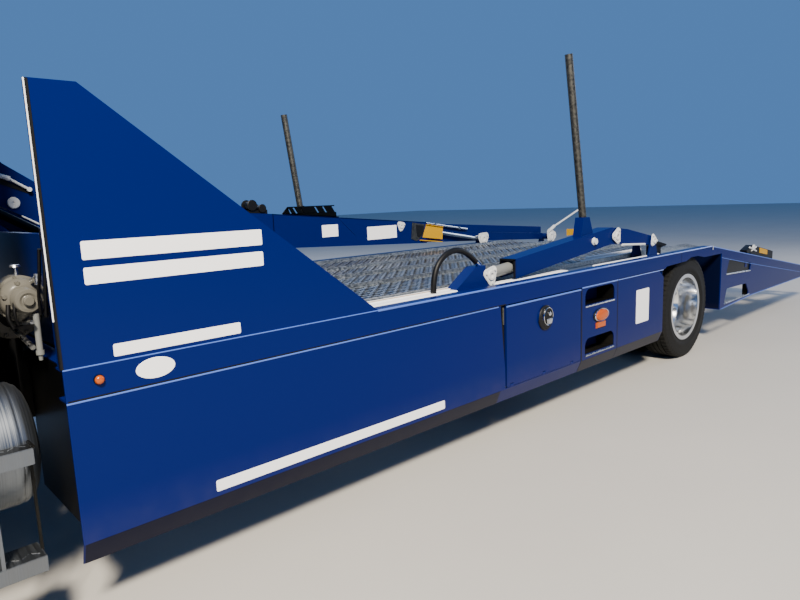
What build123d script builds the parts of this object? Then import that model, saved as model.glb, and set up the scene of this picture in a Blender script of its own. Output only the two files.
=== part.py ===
from build123d import *
import math
import os

# Rigid car transporter truck, in millimetres. +X is forward, +Y the truck's left, +Z up.
# The origin is on the ground, in the middle of the truck's length and width.

# Driving dimensions of the whole truck
LENGTH = 12200.0
WIDTH = 2590.0
FRONT_OVERHANG = 1050.0
REAR_OVERHANG = 4000.0
AXLE_F = LENGTH / 2 - FRONT_OVERHANG
AXLE_R = REAR_OVERHANG - LENGTH / 2
TAIL_X = -LENGTH / 2
SIDE = WIDTH / 2
DOOR_GAP = 6.0
SEAT = 0.3

# Wheels and tyres
TYRE_D = 930.0
TYRE_W = 255.0
LIP_D = 600.0
RIM_W = 230.0
DISC_OFFSET = 168.0
HUB_R = 112.0
WHEEL_Z = TYRE_D / 2
DUAL_OUTER_Y = SIDE - 25.0 - TYRE_W / 2
DUAL_INNER_Y = DUAL_OUTER_Y - 2 * DISC_OFFSET - 7.0
FRONT_WHEEL_Y = SIDE - 265.0
SPINDLE_R = 38.0
RUN_GAP = 0.5

# Chassis ladder
FRAME_Y = 430.0
FRAME_FLANGE = 80.0
FRAME_WEB = 9.0
FRAME_LOW = 600.0
FRAME_TOP = 860.0
FRAME_REAR = AXLE_R - 700.0
FRAME_FRONT = LENGTH / 2 - 200.0
MEMBER_LOW = 760.0
MEMBER_TOP = 840.0
MEMBER_HALF = 30.0

# Springs
SPRING_HALF = 620.0
SPRING_TOP = FRAME_LOW - 12.0
SPRING_R_IN = 475.0
SPRING_R_OUT = 555.0
SPRING_F_IN = 345.0
SPRING_F_OUT = 425.0

# Deck and side rail
DECK_Z = 985.0
RAIL_LOW = 866.0
RAIL_WEB = 8.0
RAIL_FLANGE = 80.0
DECK_PLATE = 25.0
RUNWAY_IN = 480.0
RUNWAY_OUT = SIDE - 245.0
BED_AHEAD = AXLE_F - AXLE_R - 1976.0
BED_FRONT = AXLE_R + BED_AHEAD
PLANK_FRONT = BED_FRONT - 149.0
CENTRE_FRONT = BED_FRONT - 1074.0
RIDGE = AXLE_R - 450.0
TAIL_SLOPE = 0.158
TIE_DOWNS = (300.0, 900.0, 1500.0, 2100.0, 2700.0, 3300.0)
TIE_DOWN_R = 14.0
WELL_FRONT = AXLE_R + 550.0
WELL_REAR = AXLE_R - 714.0

# Side panels below the rail
SKIN = 5.0
BEND_Z = 337.0
HEM_Z = 251.0
HEM_IN = 36.0
DOOR_FRONT = AXLE_R + 2704.0
DOOR_REAR = AXLE_R + 1845.0
STEP_REAR = AXLE_R + 1327.0

# Cab, hood and what stands behind them
CAB_BACK = BED_FRONT + 126.0
CAB_FRONT = AXLE_F - 450.0
CAB_LOW = 990.0
CAB_TOP = 2480.0
CAB_HALF = 1045.0
CAB_WAIST = 1660.0
CAB_WALL = 45.0
HOOD_FRONT = LENGTH / 2 - 135.0
HOOD_PIVOT = (HOOD_FRONT + 5.0, FRAME_LOW + 45.0)
ARCH_R = 560.0
GLASS = 6.0

# Lifting gear: pins in the side view, as (forward of the rear axle, height)
ARM_PIVOT = (574.0, 1109.0)
ARM_EYE = (1180.0, 1185.0)
ARM_BASE = (2696.0, 1040.0)
ARM_BOSS = (1505.0, 1165.0)
ARM_Y = SIDE - 163.0
BEAM_PIVOT = (-1334.0, 985.0)
BEAM_BASE = (1330.0, 1262.0)
BEAM_EYE = (10.0, 1040.0)
BEAM_Y = -(SIDE - 163.0)
BEAM_CYLINDER_Y = BEAM_Y + 10.0
RACK_PIVOT = (BED_AHEAD - 374.0, 1150.0)
RACK_EYE = (BED_AHEAD - 124.0, 1572.0)
RACK_BASE = (BED_AHEAD - 954.0, 1060.0)
RACK_Y = 400.0
RACK_CYLINDER_IN = 85.0
PIN_R = 20.0
ARM_EYE_CLEAR = 10.0
BEAM_EYE_CLEAR = 6.0
RACK_EYE_CLEAR = 3.0


def at(forward):
    """X of a place given as its distance forward of the rear axle."""
    return AXLE_R + forward


def tail_deck(x):
    """Height of the tail's sloping deck at a given X."""
    return DECK_Z - TAIL_SLOPE * (RIDGE - x)


def block(x_low, x_high, y_low, y_high, z_low, z_high):
    size = Box(x_high - x_low, y_high - y_low, z_high - z_low)
    return Pos((x_low + x_high) / 2, (y_low + y_high) / 2, (z_low + z_high) / 2) * size


def side_plate(outline, y_low, y_high):
    """A plate seen from the side: outline in (X, Z), thickness from y_low to y_high."""
    face = make_face(Polyline(*outline, close=True))
    return extrude(Plane.XZ.offset(-y_high) * face, y_high - y_low)


def cross_plate(outline, x_low, x_high):
    """A plate seen from behind: outline in (Y, Z), run from x_low to x_high."""
    face = make_face(Polyline(*outline, close=True))
    return extrude(Plane.YZ.offset(x_low) * face, x_high - x_low)


def rod_y(x, z, radius, y_low, y_high):
    """A round bar across the truck."""
    return Pos(x, (y_low + y_high) / 2, z) * Rot(90, 0, 0) * Cylinder(radius, y_high - y_low)


def rod_z(x, y, radius, z_low, z_high):
    return Pos(x, y, (z_low + z_high) / 2) * Cylinder(radius, z_high - z_low)


def rod_x(y, z, radius, x_low, x_high):
    return Pos((x_low + x_high) / 2, y, z) * Rot(0, 90, 0) * Cylinder(radius, x_high - x_low)


def bar_between(start, end, radius, y):
    """A round bar in a side plane, from one (X, Z) point to another."""
    run = (end[0] - start[0], end[1] - start[1])
    middle = ((start[0] + end[0]) / 2, (start[1] + end[1]) / 2)
    tilt = math.degrees(math.atan2(run[0], run[1]))
    return Pos(middle[0], y, middle[1]) * Rot(0, tilt, 0) * Cylinder(radius, math.hypot(*run))


def mirrored(shape):
    return mirror(shape, about=Plane.XZ)


def both(shape):
    return [shape, mirrored(shape)]


def fuse(shapes):
    whole = shapes[0]
    for shape in shapes[1:]:
        whole = whole + shape
    return whole


def ear_pair(pin, foot_half, y, gap, thick, foot_z, radius):
    """Two plates gap to each side of y that rise from a foot to a pin, and the pin through both."""
    ears = []
    for low in (y - gap - thick, y + gap):
        outline = [
            (at(pin[0]) - foot_half, foot_z), (at(pin[0]) + foot_half, foot_z),
            (at(pin[0]) + radius * 0.9, pin[1]), (at(pin[0]) - radius * 0.9, pin[1])]
        boss = rod_y(at(pin[0]), pin[1], radius, low, low + thick)
        ears.append(side_plate(outline, low, low + thick) + boss)
    ears.append(rod_y(at(pin[0]), pin[1], PIN_R, y - gap - thick, y + gap + thick))
    return fuse(ears)


def write(node, *shapes):
    solids = []
    for shape in shapes:
        solids.extend(shape.solids())
    export_step(Compound(solids), f"parts/{node}.step")
    print(node, len(solids))


# Frame
def frame():
    rails = []
    for side in (1, -1):
        web = block(FRAME_REAR, FRAME_FRONT, 0, FRAME_WEB, FRAME_LOW, FRAME_TOP)
        web = Pos(0, side * (FRAME_Y - FRAME_WEB / 2) - FRAME_WEB / 2, 0) * web
        inner = min(side * (FRAME_Y - FRAME_FLANGE), side * FRAME_Y)
        for low in (FRAME_LOW, FRAME_TOP - FRAME_WEB):
            web += block(FRAME_REAR, FRAME_FRONT, inner, inner + FRAME_FLANGE, low, low + FRAME_WEB)
        rails.append(web)
    ladder = fuse(rails)
    middles = [at(forward) for forward in (-560.0, 620.0, 1400.0, 2600.0, 3800.0)]
    for x in middles + [BED_FRONT - 174, FRAME_FRONT - 60]:
        ladder += block(x - MEMBER_HALF, x + MEMBER_HALF, -FRAME_Y + 4, FRAME_Y - 4, MEMBER_LOW, MEMBER_TOP)
    for x in (CAB_BACK + 160.0, CAB_FRONT - 160.0):
        for side in (1, -1):
            y = side * (FRAME_Y - FRAME_FLANGE / 2)
            ladder += block(x - 50, x + 50, y - 38, y + 38, FRAME_TOP, CAB_LOW)
    for side in (1, -1):
        y = side * (FRAME_Y - 20.0)
        ear = block(FRAME_FRONT - 60, HOOD_PIVOT[0] + 18, y - 10, y + 10, FRAME_LOW + 4, HOOD_PIVOT[1] + 22)
        ladder += ear - rod_y(*HOOD_PIVOT, 12.0 + SEAT, y - 20, y + 20)
        for x in (AXLE_R - SPRING_HALF, AXLE_R + SPRING_HALF):
            low, high = sorted((side * (FRAME_Y - 2.0), side * SPRING_R_OUT))
            ladder += block(x - 35, x + 35, low, high, SPRING_TOP, 800.0)
    write("frame", ladder)


# Deck frame: side rails, bearers and the plates that close the wheel wells
BEARERS = (620.0, 1340.0, 2060.0, 2780.0, 3500.0, RACK_BASE[0], RACK_PIVOT[0], BED_AHEAD - 84.0)
BEARER_HALF = 35.0
HANGERS = (560.0, 1858.0, 2692.0, BED_AHEAD - 54.0)


def side_rail():
    profile = [
        (SIDE, RAIL_LOW), (SIDE, DECK_Z), (SIDE - RAIL_FLANGE, DECK_Z),
        (SIDE - RAIL_FLANGE, DECK_Z - RAIL_WEB), (SIDE - RAIL_WEB, DECK_Z - RAIL_WEB),
        (SIDE - RAIL_WEB, RAIL_LOW + RAIL_WEB), (SIDE - RAIL_FLANGE, RAIL_LOW + RAIL_WEB),
        (SIDE - RAIL_FLANGE, RAIL_LOW)]
    rail = cross_plate(profile, WELL_REAR, BED_FRONT)
    arch = [
        (WELL_FRONT, RAIL_LOW - 10), (WELL_FRONT - 60, 884.0), (AXLE_R + 100, 893.0),
        (AXLE_R, 918.0), (AXLE_R - 150, 918.0), (AXLE_R - 300, 893.0), (WELL_REAR - 10, 893.0),
        (WELL_REAR - 10, RAIL_LOW - 10)]
    rail -= side_plate(arch, SIDE - RAIL_FLANGE - 5, SIDE + 5)
    fall = [(RIDGE, DECK_Z), (WELL_REAR - 10, tail_deck(WELL_REAR - 10)),
            (WELL_REAR - 10, DECK_Z + 10), (RIDGE, DECK_Z + 10)]
    rail -= side_plate(fall, SIDE - RAIL_FLANGE - 5, SIDE + 5)
    rail -= block(WELL_REAR - 1, WELL_FRONT, SIDE - RAIL_FLANGE - 5, SIDE - RAIL_WEB, 800, 930)
    for forward in TIE_DOWNS:
        rail -= rod_z(at(forward), SIDE - RAIL_FLANGE / 2, TIE_DOWN_R, DECK_Z - 20, DECK_Z + 10)
    return rail


def deck_frame():
    pieces = [side_rail(), mirrored(side_rail())]
    bearer_top = DECK_Z - DECK_PLATE
    for forward in BEARERS:
        x = at(forward)
        rear, front = x - BEARER_HALF, x + BEARER_HALF
        outer = SIDE - RAIL_WEB
        pieces.append(block(rear, front, -outer, outer, RAIL_LOW + RAIL_WEB, bearer_top))
        pieces.append(block(rear, front, -FRAME_Y, FRAME_Y, FRAME_TOP, RAIL_LOW + RAIL_WEB + 1))
    for side in (1, -1):
        for forward in HANGERS:
            x = at(forward)
            low, high = sorted((side * 640.0, side * (SIDE - SKIN - 2)))
            pieces.append(block(x, x + 6, low, high, BEND_Z + 13, RAIL_LOW + 20))
        pieces.append(ear_pair(RACK_PIVOT, 34, side * RACK_Y, 41, 12, bearer_top, 45))
        inner = side * (RACK_Y - RACK_CYLINDER_IN)
        pieces.append(ear_pair(RACK_BASE, 34, inner, 25, 12, bearer_top, 36))
    write("deck_frame", fuse(pieces))


# Panels that hang below the side rail
def hem_profile(top, low=HEM_Z):
    """Section of a side panel: upright skin, folded in below the bend line."""
    return [
        (SIDE, top), (SIDE, BEND_Z), (SIDE - HEM_IN, low), (SIDE - HEM_IN - SKIN, low),
        (SIDE - SKIN, BEND_Z + 2), (SIDE - SKIN, top)]


def arched_opening(rear, front, low, high):
    """The cut of a step opening: square foot, round shoulders."""
    shoulder = 60.0
    cut = block(at(rear), at(front), SIDE - 20, SIDE + 20, low, high)
    cut -= block(at(rear) - 1, at(rear) + shoulder, SIDE - 21, SIDE + 21, high - shoulder, high + 1)
    cut -= block(at(front) - shoulder, at(front) + 1, SIDE - 21, SIDE + 21, high - shoulder, high + 1)
    for x in (at(rear) + shoulder, at(front) - shoulder):
        cut += rod_y(x, high - shoulder, shoulder, SIDE - 20, SIDE + 20)
    return cut


STEP_OPENINGS = ((720.0, 848.0), (362.0, 489.0))
STEP_DEPTH = 150.0


def step_panel():
    panel = cross_plate(hem_profile(RAIL_LOW), STEP_REAR + 2, DOOR_REAR - 2)
    for low, high in STEP_OPENINGS:
        panel -= arched_opening(1375.0, 1790.0, low, high)
        inner = SIDE - STEP_DEPTH
        panel += block(at(1370), at(1795), inner, SIDE - SKIN + 1, low - 12, low)
        panel += block(at(1370), at(1795), inner, inner + SKIN, low - 12, high + 10)
        panel += block(at(1370), at(1795), SIDE - 12, SIDE - 3, low, low + 10)
    return panel


BOX_HINGE_Z = BEND_Z + 14


def hinge_places():
    return (DOOR_REAR + 60, (DOOR_REAR + DOOR_FRONT) / 2 - 30, DOOR_FRONT - 110)


def side_panels():
    panels = []
    front = cross_plate(hem_profile(RAIL_LOW), DOOR_FRONT + 14, BED_FRONT)
    front -= side_plate([
        (DOOR_FRONT + 13, RAIL_LOW + 5), (DOOR_FRONT + 50, RAIL_LOW + 5), (DOOR_FRONT + 50, RAIL_LOW - 40),
        (DOOR_FRONT + 13, BEND_Z + 120)], SIDE - 20, SIDE + 5)
    rear = cross_plate(hem_profile(RAIL_LOW), WELL_FRONT, STEP_REAR - 2)
    notch = [(WELL_FRONT - 1, 800.0), (WELL_FRONT + 95, RAIL_LOW + 5), (WELL_FRONT - 1, RAIL_LOW + 5)]
    rear -= side_plate(notch, SIDE - 20, SIDE + 5)
    sill = cross_plate(hem_profile(BEND_Z + 5), DOOR_REAR - 2, DOOR_FRONT + 14)
    for x in hinge_places():
        sill += rod_x(SIDE - 7, BOX_HINGE_Z, 7, x + 40 + SEAT, x + 70)
        sill += block(x + 40 + SEAT, x + 70, SIDE - 5, SIDE, BEND_Z + 4, BOX_HINGE_Z)
    for panel in (front, rear, step_panel(), sill):
        panels += both(panel)
    write("side_panels", *panels)


def toolboxes():
    inner = SIDE - 620.0
    outer = SIDE - SKIN - 10
    low, high = BEND_Z + 6, RAIL_LOW
    box = block(DOOR_REAR + 22, DOOR_FRONT - 22, inner, outer, low, high)
    box -= block(DOOR_REAR + 28, DOOR_FRONT - 28, inner + 6, outer + 5, low + 6, high - 6)
    write("toolboxes", *both(box))


def toolbox_door():
    top = RAIL_LOW - 10
    door = block(DOOR_REAR + 4, DOOR_FRONT - 4, SIDE - SKIN, SIDE, BEND_Z + 8, top)
    for x in hinge_places():
        door += rod_x(SIDE - 7, BOX_HINGE_Z, 7, x - 40, x + 40)
        door -= block(x + 40, x + 74, SIDE - 20, SIDE + 5, BEND_Z, BOX_HINGE_Z + 12)
    x = at(2289.0)
    door += Pos(x, SIDE, 731) * Rot(-90, 0, 0) * extrude(Ellipse(80, 66), 5)
    door += block(x - 38, x + 38, SIDE, SIDE + 14, 712, 750)
    return door


def toolbox_doors():
    write("toolbox_door_left", toolbox_door())
    write("toolbox_door_right", mirrored(toolbox_door()))


# Headboard between the deck and the cab, with its side fins
FIN_TOP = 1952.0
FIN_CREST = BED_FRONT - 149.0
FIN_FOOT = BED_FRONT - 1440.0
WALL_TOP = 1440.0


def headboard():
    fin = side_plate([
        (BED_FRONT, DECK_Z), (BED_FRONT, FIN_TOP), (FIN_CREST, FIN_TOP), (FIN_FOOT, DECK_Z)],
        SIDE - 10, SIDE)
    fin += block(BED_FRONT - 8, BED_FRONT, SIDE - 55, SIDE - 9, DECK_Z, FIN_TOP)
    fin += side_plate([
        (FIN_CREST, FIN_TOP), (FIN_FOOT, DECK_Z), (FIN_FOOT + 14, DECK_Z), (FIN_CREST + 14, FIN_TOP)],
        SIDE - 45, SIDE - 9)
    wall = block(BED_FRONT - 110, BED_FRONT - 104, -SIDE + 9, SIDE - 9, DECK_Z, WALL_TOP)
    for z in (DECK_Z + 15, DECK_Z + 215, WALL_TOP - 50):
        wall += block(BED_FRONT - 144, BED_FRONT - 109, -SIDE + 9, SIDE - 9, z, z + 50)
    write("headboard", fuse([wall, fin, mirrored(fin)]))


# Tail behind the rear wheels
BEAM_HALF = 60.0
TAIL_MEMBERS = (760.0, 1420.0, 2160.0, REAR_OVERHANG - 1100, REAR_OVERHANG - 300)
TAIL_DROP = 26.0
TAIL_WINDOWS = (
    # corners as (forward of the rear axle, height), and the radius of the corners
    (((-842.0, 672.0), (-915.0, 812.0), (-1535.0, 728.0), (-1522.0, 643.0)), 25.0),
    (((-817.0, 379.0), (-880.0, 527.0), (-1420.0, 517.0), (-1532.0, 390.0)), 25.0),
)


def tail_side():
    outline = [
        (WELL_REAR, 336), (WELL_REAR, tail_deck(WELL_REAR) - 2), (TAIL_X, tail_deck(TAIL_X)),
        (TAIL_X, 371), (at(-1560), 371), (at(-740), 336)]
    side = side_plate(outline, SIDE - 10, SIDE)
    for window, corner_r in TAIL_WINDOWS:
        face = make_face(Polyline(*[(at(forward), z) for forward, z in window], close=True))
        face = fillet(face.vertices(), corner_r)
        side -= extrude(Plane.XZ.offset(-SIDE - 5) * face, 35)
    flange = [
        (WELL_REAR, tail_deck(WELL_REAR) - 2), (TAIL_X, tail_deck(TAIL_X)),
        (TAIL_X, tail_deck(TAIL_X) - 10), (WELL_REAR, tail_deck(WELL_REAR) - 12)]
    side += side_plate(flange, SIDE - 60, SIDE - 9)
    chord = [(at(-1560), 711), (TAIL_X + 400, 389), (TAIL_X + 400, 379), (at(-1560), 701)]
    side += side_plate(chord, SIDE - 60, SIDE - 9)
    return side


def tail_frame():
    pieces = both(tail_side())
    for forward in TAIL_MEMBERS:
        x = at(-forward)
        top = tail_deck(x - 30) - TAIL_DROP
        pieces.append(block(x - 30, x + 30, -SIDE + 9, SIDE - 9, max(top - 110, 372), top))
    for side in (1, -1):
        low, high = sorted((side * 400.0, side * 470.0))
        beam = [
            (FRAME_REAR, tail_deck(FRAME_REAR) - TAIL_DROP - 12),
            (TAIL_X + 30, tail_deck(TAIL_X) - TAIL_DROP - 4), (TAIL_X + 30, 372), (FRAME_REAR, 640)]
        pieces.append(side_plate(beam, low, high))
        well = block(WELL_REAR - 6, WELL_REAR, *sorted((side * 640.0, side * (SIDE - 9))), 336, 900)
        pieces.append(well)
    pieces.append(block(TAIL_X + 8, TAIL_X + 40, -SIDE + 9, SIDE - 9, 345, tail_deck(TAIL_X) - 30))
    pin_x, pin_z = at(BEAM_PIVOT[0]), BEAM_PIVOT[1]
    for offset in (-BEAM_HALF - 17, BEAM_HALF + 5):
        y = BEAM_Y + offset
        foot = [
            (pin_x - 90, tail_deck(pin_x) - 60), (pin_x + 90, tail_deck(pin_x) - 60),
            (pin_x + 40, pin_z), (pin_x - 40, pin_z)]
        pieces.append(side_plate(foot, y, y + 12) + rod_y(pin_x, pin_z, 40, y, y + 12))
    pieces.append(rod_y(pin_x, pin_z, PIN_R, BEAM_Y - BEAM_HALF - 17, BEAM_Y + BEAM_HALF + 17))
    write("tail_frame", fuse(pieces))


# Deck planks: open trays with side lips and cross ribs, two runways and a pair between them
RIB_WIDE = 18.0
RIB_HIGH = 16.0
RIB_END = 30.0
RIB_PITCH = 150.0
TRAY = 6.0
LIP = 42.0
PLANK_GAP = 1.5
BAY_RIBS = 3
OPEN_ACROSS = 2
OPEN_EDGE = 60.0


def plank(start, length, inner=RUNWAY_IN, outer=RUNWAY_OUT):
    """A level deck plank along +X from start, its foot at z = 0: a tray with side lips and cross ribs."""
    tray = block(start, start + length, inner, outer, 0, TRAY)
    bays = int((length - RIB_END - RIB_WIDE) / (BAY_RIBS * RIB_PITCH))
    strip = (outer - inner - (OPEN_ACROSS + 1) * OPEN_EDGE) / OPEN_ACROSS
    for i in range(bays):
        rear = start + RIB_END + RIB_WIDE + i * BAY_RIBS * RIB_PITCH
        for j in range(OPEN_ACROSS):
            low = inner + OPEN_EDGE + j * (strip + OPEN_EDGE)
            tray -= block(rear, rear + BAY_RIBS * RIB_PITCH - RIB_WIDE, low, low + strip, -1, TRAY + 1)
    tray += block(start, start + length, inner, inner + TRAY, 0, LIP)
    tray += block(start, start + length, outer - TRAY, outer, 0, LIP)
    for i in range(int((length - 2 * RIB_END) / RIB_PITCH) + 1):
        x = start + RIB_END + i * RIB_PITCH
        tray += block(x, x + RIB_WIDE, inner + TRAY / 2, outer - TRAY / 2, TRAY - 1, TRAY + RIB_HIGH)
    return tray


def runways():
    foot = DECK_Z - DECK_PLATE
    left = Pos(0, 0, foot) * plank(RIDGE, PLANK_FRONT - RIDGE)
    write("runway_left", left)
    centre = Pos(0, 0, foot) * plank(RIDGE, CENTRE_FRONT - RIDGE, PLANK_GAP, RUNWAY_IN - 2 * PLANK_GAP)
    write("deck_centre", *both(centre))
    fall = math.degrees(math.atan(TAIL_SLOPE))
    tail_length = (RIDGE - TAIL_X) / math.cos(math.radians(fall)) - 14
    tail = Pos(RIDGE - 4, 0, foot - 1) * Rot(0, -fall, 0) * plank(-tail_length, tail_length - 6)
    write("runways_ribbed", mirrored(left), tail, mirrored(tail))


def edge_plates():
    foot = DECK_Z - DECK_PLATE
    plate = block(RIDGE, BED_FRONT - 114, RUNWAY_OUT + 3, SIDE - RAIL_FLANGE - 3, foot, foot + 6)
    write("edge_plates", *both(plate))


# Brackets that carry the lift arm, the lift beam's cylinder and the hose
HOSE_D = 22.0
HOSE_Y = ARM_Y + 20.0
HOSE = ((2808.0, 1132.0), (2915.0, 1222.0), (3080.0, 1212.0), (3185.0, 1105.0), (3185.0, 985.0))


def deck_brackets():
    foot = DECK_Z - DECK_PLATE + 6
    front = ear_pair(ARM_BASE, 60, ARM_Y, 27, 12, foot, 40)
    gusset = [(at(2740), foot), (at(3020), foot), (at(3020), foot + 15), (at(2830), 1105), (at(2740), 1105)]
    front += side_plate(gusset, ARM_Y - 39, ARM_Y + 39)
    fitting_run = (HOSE[1][0] - HOSE[0][0], HOSE[1][1] - HOSE[0][1])
    size = math.hypot(*fitting_run)
    back = (HOSE[0][0] - 50 * fitting_run[0] / size, HOSE[0][1] - 50 * fitting_run[1] / size)
    front += bar_between((at(back[0]), back[1]), (at(HOSE[0][0]), HOSE[0][1]), 15, HOSE_Y)
    gland = rod_z(at(HOSE[-1][0]), HOSE_Y, 18, foot, HOSE[-1][1])
    rear = ear_pair(ARM_PIVOT, 90, ARM_Y, ARM_HALF + 5, 12, foot, 40)
    right = ear_pair(BEAM_EYE, 70, BEAM_CYLINDER_Y, 26, 12, foot, 38)
    write("deck_brackets", front, gland, rear, right)


def hydraulic_hose():
    points = [Vector(at(forward), HOSE_Y, z) for forward, z in HOSE]
    radii = []
    for before, corner, after in zip(points, points[1:], points[2:]):
        turn = math.radians((corner - before).get_angle(after - corner))
        shorter = min((corner - before).length, (after - corner).length)
        radii.append(0.45 * shorter / math.tan(turn / 2))
    print("hose radii", [round(radius) for radius in radii])
    route = FilletPolyline(*points, radius=radii)
    section = Plane(origin=points[0], z_dir=points[1] - points[0]) * Circle(HOSE_D / 2)
    hose = sweep(section, path=route)
    share = hose.volume / (section.area * route.length)
    print("hose length", round(route.length), "volume check", round(share, 4))
    write("hydraulic_hose", hose)


# Left lift arm: an open-bottomed channel with its post, pushed by the cylinder that lies in it
ARM_HALF = 60.0
ARM_WALL = 8.0
POST_R = 27.5
POST_FOOT = 1345.0


def lift_arm():
    top = [(2460, 1120), (1240, 1253), (990, 1226), (574, 1147)]
    low = [(574, 1071), (1240, 1125), (2460, 994)]
    outline = [(at(forward), z) for forward, z in top + low]
    arm = side_plate(outline, ARM_Y - ARM_HALF, ARM_Y + ARM_HALF)
    arm += rod_y(at(ARM_PIVOT[0]), ARM_PIVOT[1], 38, ARM_Y - ARM_HALF, ARM_Y + ARM_HALF)
    hollow = [(2470, 1111), (1240, 1245), (990, 1218), (760, 1174), (760, 900), (2470, 900)]
    inner = [(at(forward), z) for forward, z in hollow]
    arm -= side_plate(inner, ARM_Y - ARM_HALF + ARM_WALL, ARM_Y + ARM_HALF - ARM_WALL)
    arm -= rod_y(at(ARM_PIVOT[0]), ARM_PIVOT[1], PIN_R + RUN_GAP, ARM_Y - 100, ARM_Y + 100)
    arm += rod_y(at(ARM_EYE[0]), ARM_EYE[1], PIN_R, ARM_Y - ARM_HALF - 16, ARM_Y + ARM_HALF + 16)
    for y in (ARM_Y - ARM_HALF - 8, ARM_Y + ARM_HALF):
        arm += rod_y(at(ARM_EYE[0]), ARM_EYE[1], 36, y, y + 8)
    arm += rod_y(at(ARM_BOSS[0]), ARM_BOSS[1], PIN_R, ARM_Y + ARM_HALF - 2, ARM_Y + ARM_HALF + 22)
    socket = [(at(1640), 1205), (at(1470), 1224), (at(1520), POST_FOOT), (at(1605), POST_FOOT)]
    arm += side_plate(socket, ARM_Y - 34, ARM_Y + 34)
    write("lift_arm", arm)


def posts():
    left = bar_between((at(1560), POST_FOOT), (at(1757), 2470), POST_R, ARM_Y)
    right = bar_between((at(2495), 1460), (at(2610), 2285), POST_R, BEAM_Y)
    left -= block(at(1400), at(1700), ARM_Y - 40, ARM_Y + 40, POST_FOOT - 45, POST_FOOT)
    seat = [(2300, 1468.5), (2700, 1503.5), (2700, 1300), (2300, 1300)]
    right -= side_plate([(at(f), z) for f, z in seat], BEAM_Y - 40, BEAM_Y + 40)
    write("post_left", left)
    write("post_right", right)


def cylinder(nodes, base, eye, barrel_length, radius, rod_radius, y_places, eye_clear, retract):
    """A cylinder from base to eye: the barrel turns on the base pin, the rod ends in an eye.
    nodes names the barrel and the rod; retract is how far the rod can go in from where it is parked."""
    shift = 50.0
    bore = shift + 60.0
    run = (eye[0] - base[0], eye[1] - base[1])
    length = math.hypot(*run)
    unit = (run[0] / length, run[1] / length)

    def along(distance):
        return (at(base[0] + unit[0] * distance), base[1] + unit[1] * distance)

    barrels = []
    rods = []
    for y in y_places:
        barrel = bar_between(along(shift), along(shift + barrel_length), radius, y)
        barrel += bar_between(along(0), along(shift + 1), radius * 0.6, y)
        boss = rod_y(at(base[0]), base[1], radius - 4, y - 21, y + 21)
        barrel += boss
        barrel -= rod_y(at(base[0]), base[1], PIN_R + RUN_GAP, y - 60, y + 60)
        inner = bar_between(along(bore), along(shift + barrel_length + 5), rod_radius + RUN_GAP, y)
        barrels.append(barrel - inner)
        rod = bar_between(along(bore + retract), along(length - PIN_R - eye_clear - 5), rod_radius, y)
        rod += rod_y(at(eye[0]), eye[1], PIN_R + eye_clear + 12, y - 14, y + 14)
        rods.append(rod - rod_y(at(eye[0]), eye[1], PIN_R + eye_clear, y - 60, y + 60))
    write(nodes[0], *barrels)
    write(nodes[1], *rods)


CYLINDERS = (
    # nodes of barrel and rod, base pin and eye pin, the barrel's length and radius, the rod's radius,
    # places on Y, clearance in the rod's eye, how far the rod can go in
    (("arm_barrel", "arm_rod"), ARM_BASE, ARM_EYE, 700.0, 36.0, 22.0, (ARM_Y,), ARM_EYE_CLEAR, 10.0),
    (("beam_barrel", "beam_rod"), BEAM_BASE, BEAM_EYE, 400.0, 36.0, 22.0, (BEAM_CYLINDER_Y,),
     BEAM_EYE_CLEAR, 20.0),
    (("rack_barrels", "rack_rods"), RACK_BASE, RACK_EYE, 560.0, 40.0, 24.0,
     (RACK_Y - RACK_CYLINDER_IN, RACK_CYLINDER_IN - RACK_Y), RACK_EYE_CLEAR, 85.0),
)


# Right lift beam, parked raised: box section in front, slender bar behind
def lift_beam():
    box = [(2830, 1446), (960, 1283), (960, 1063), (2830, 1150)]
    beam = side_plate([(at(f), z) for f, z in box], BEAM_Y - BEAM_HALF, BEAM_Y + BEAM_HALF)
    inner = [(2820, 1437), (950, 1274), (950, 900), (2820, 900)]
    beam -= side_plate([(at(f), z) for f, z in inner], BEAM_Y - BEAM_HALF + 8, BEAM_Y + BEAM_HALF - 8)
    bar = [(1100, 1200), (-1334, 1022), (-1334, 948), (1100, 1075)]
    beam += side_plate([(at(f), z) for f, z in bar], BEAM_Y - BEAM_HALF, BEAM_Y - BEAM_HALF + 28)
    beam += rod_y(at(BEAM_PIVOT[0]), BEAM_PIVOT[1], 37, BEAM_Y - BEAM_HALF + 16, BEAM_Y + 60)
    cheek = [(970, 1275), (850, 1225), (850, 1150), (970, 1100)]
    for y in (BEAM_Y - BEAM_HALF, BEAM_Y + BEAM_HALF - 8):
        beam += side_plate([(at(f), z) for f, z in cheek], y, y + 8)
    beam -= rod_y(at(BEAM_PIVOT[0]), BEAM_PIVOT[1], PIN_R + RUN_GAP, BEAM_Y - 100, BEAM_Y + 100)
    beam += rod_y(at(BEAM_BASE[0]), BEAM_BASE[1], PIN_R, BEAM_Y - BEAM_HALF, BEAM_Y + BEAM_HALF)
    slotted = [(2660, 1500), (2100, 1451), (2100, 1380), (2660, 1429)]
    beam += side_plate([(at(f), z) for f, z in slotted], BEAM_Y - 40, BEAM_Y + 40)
    write("lift_beam", beam)


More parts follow.
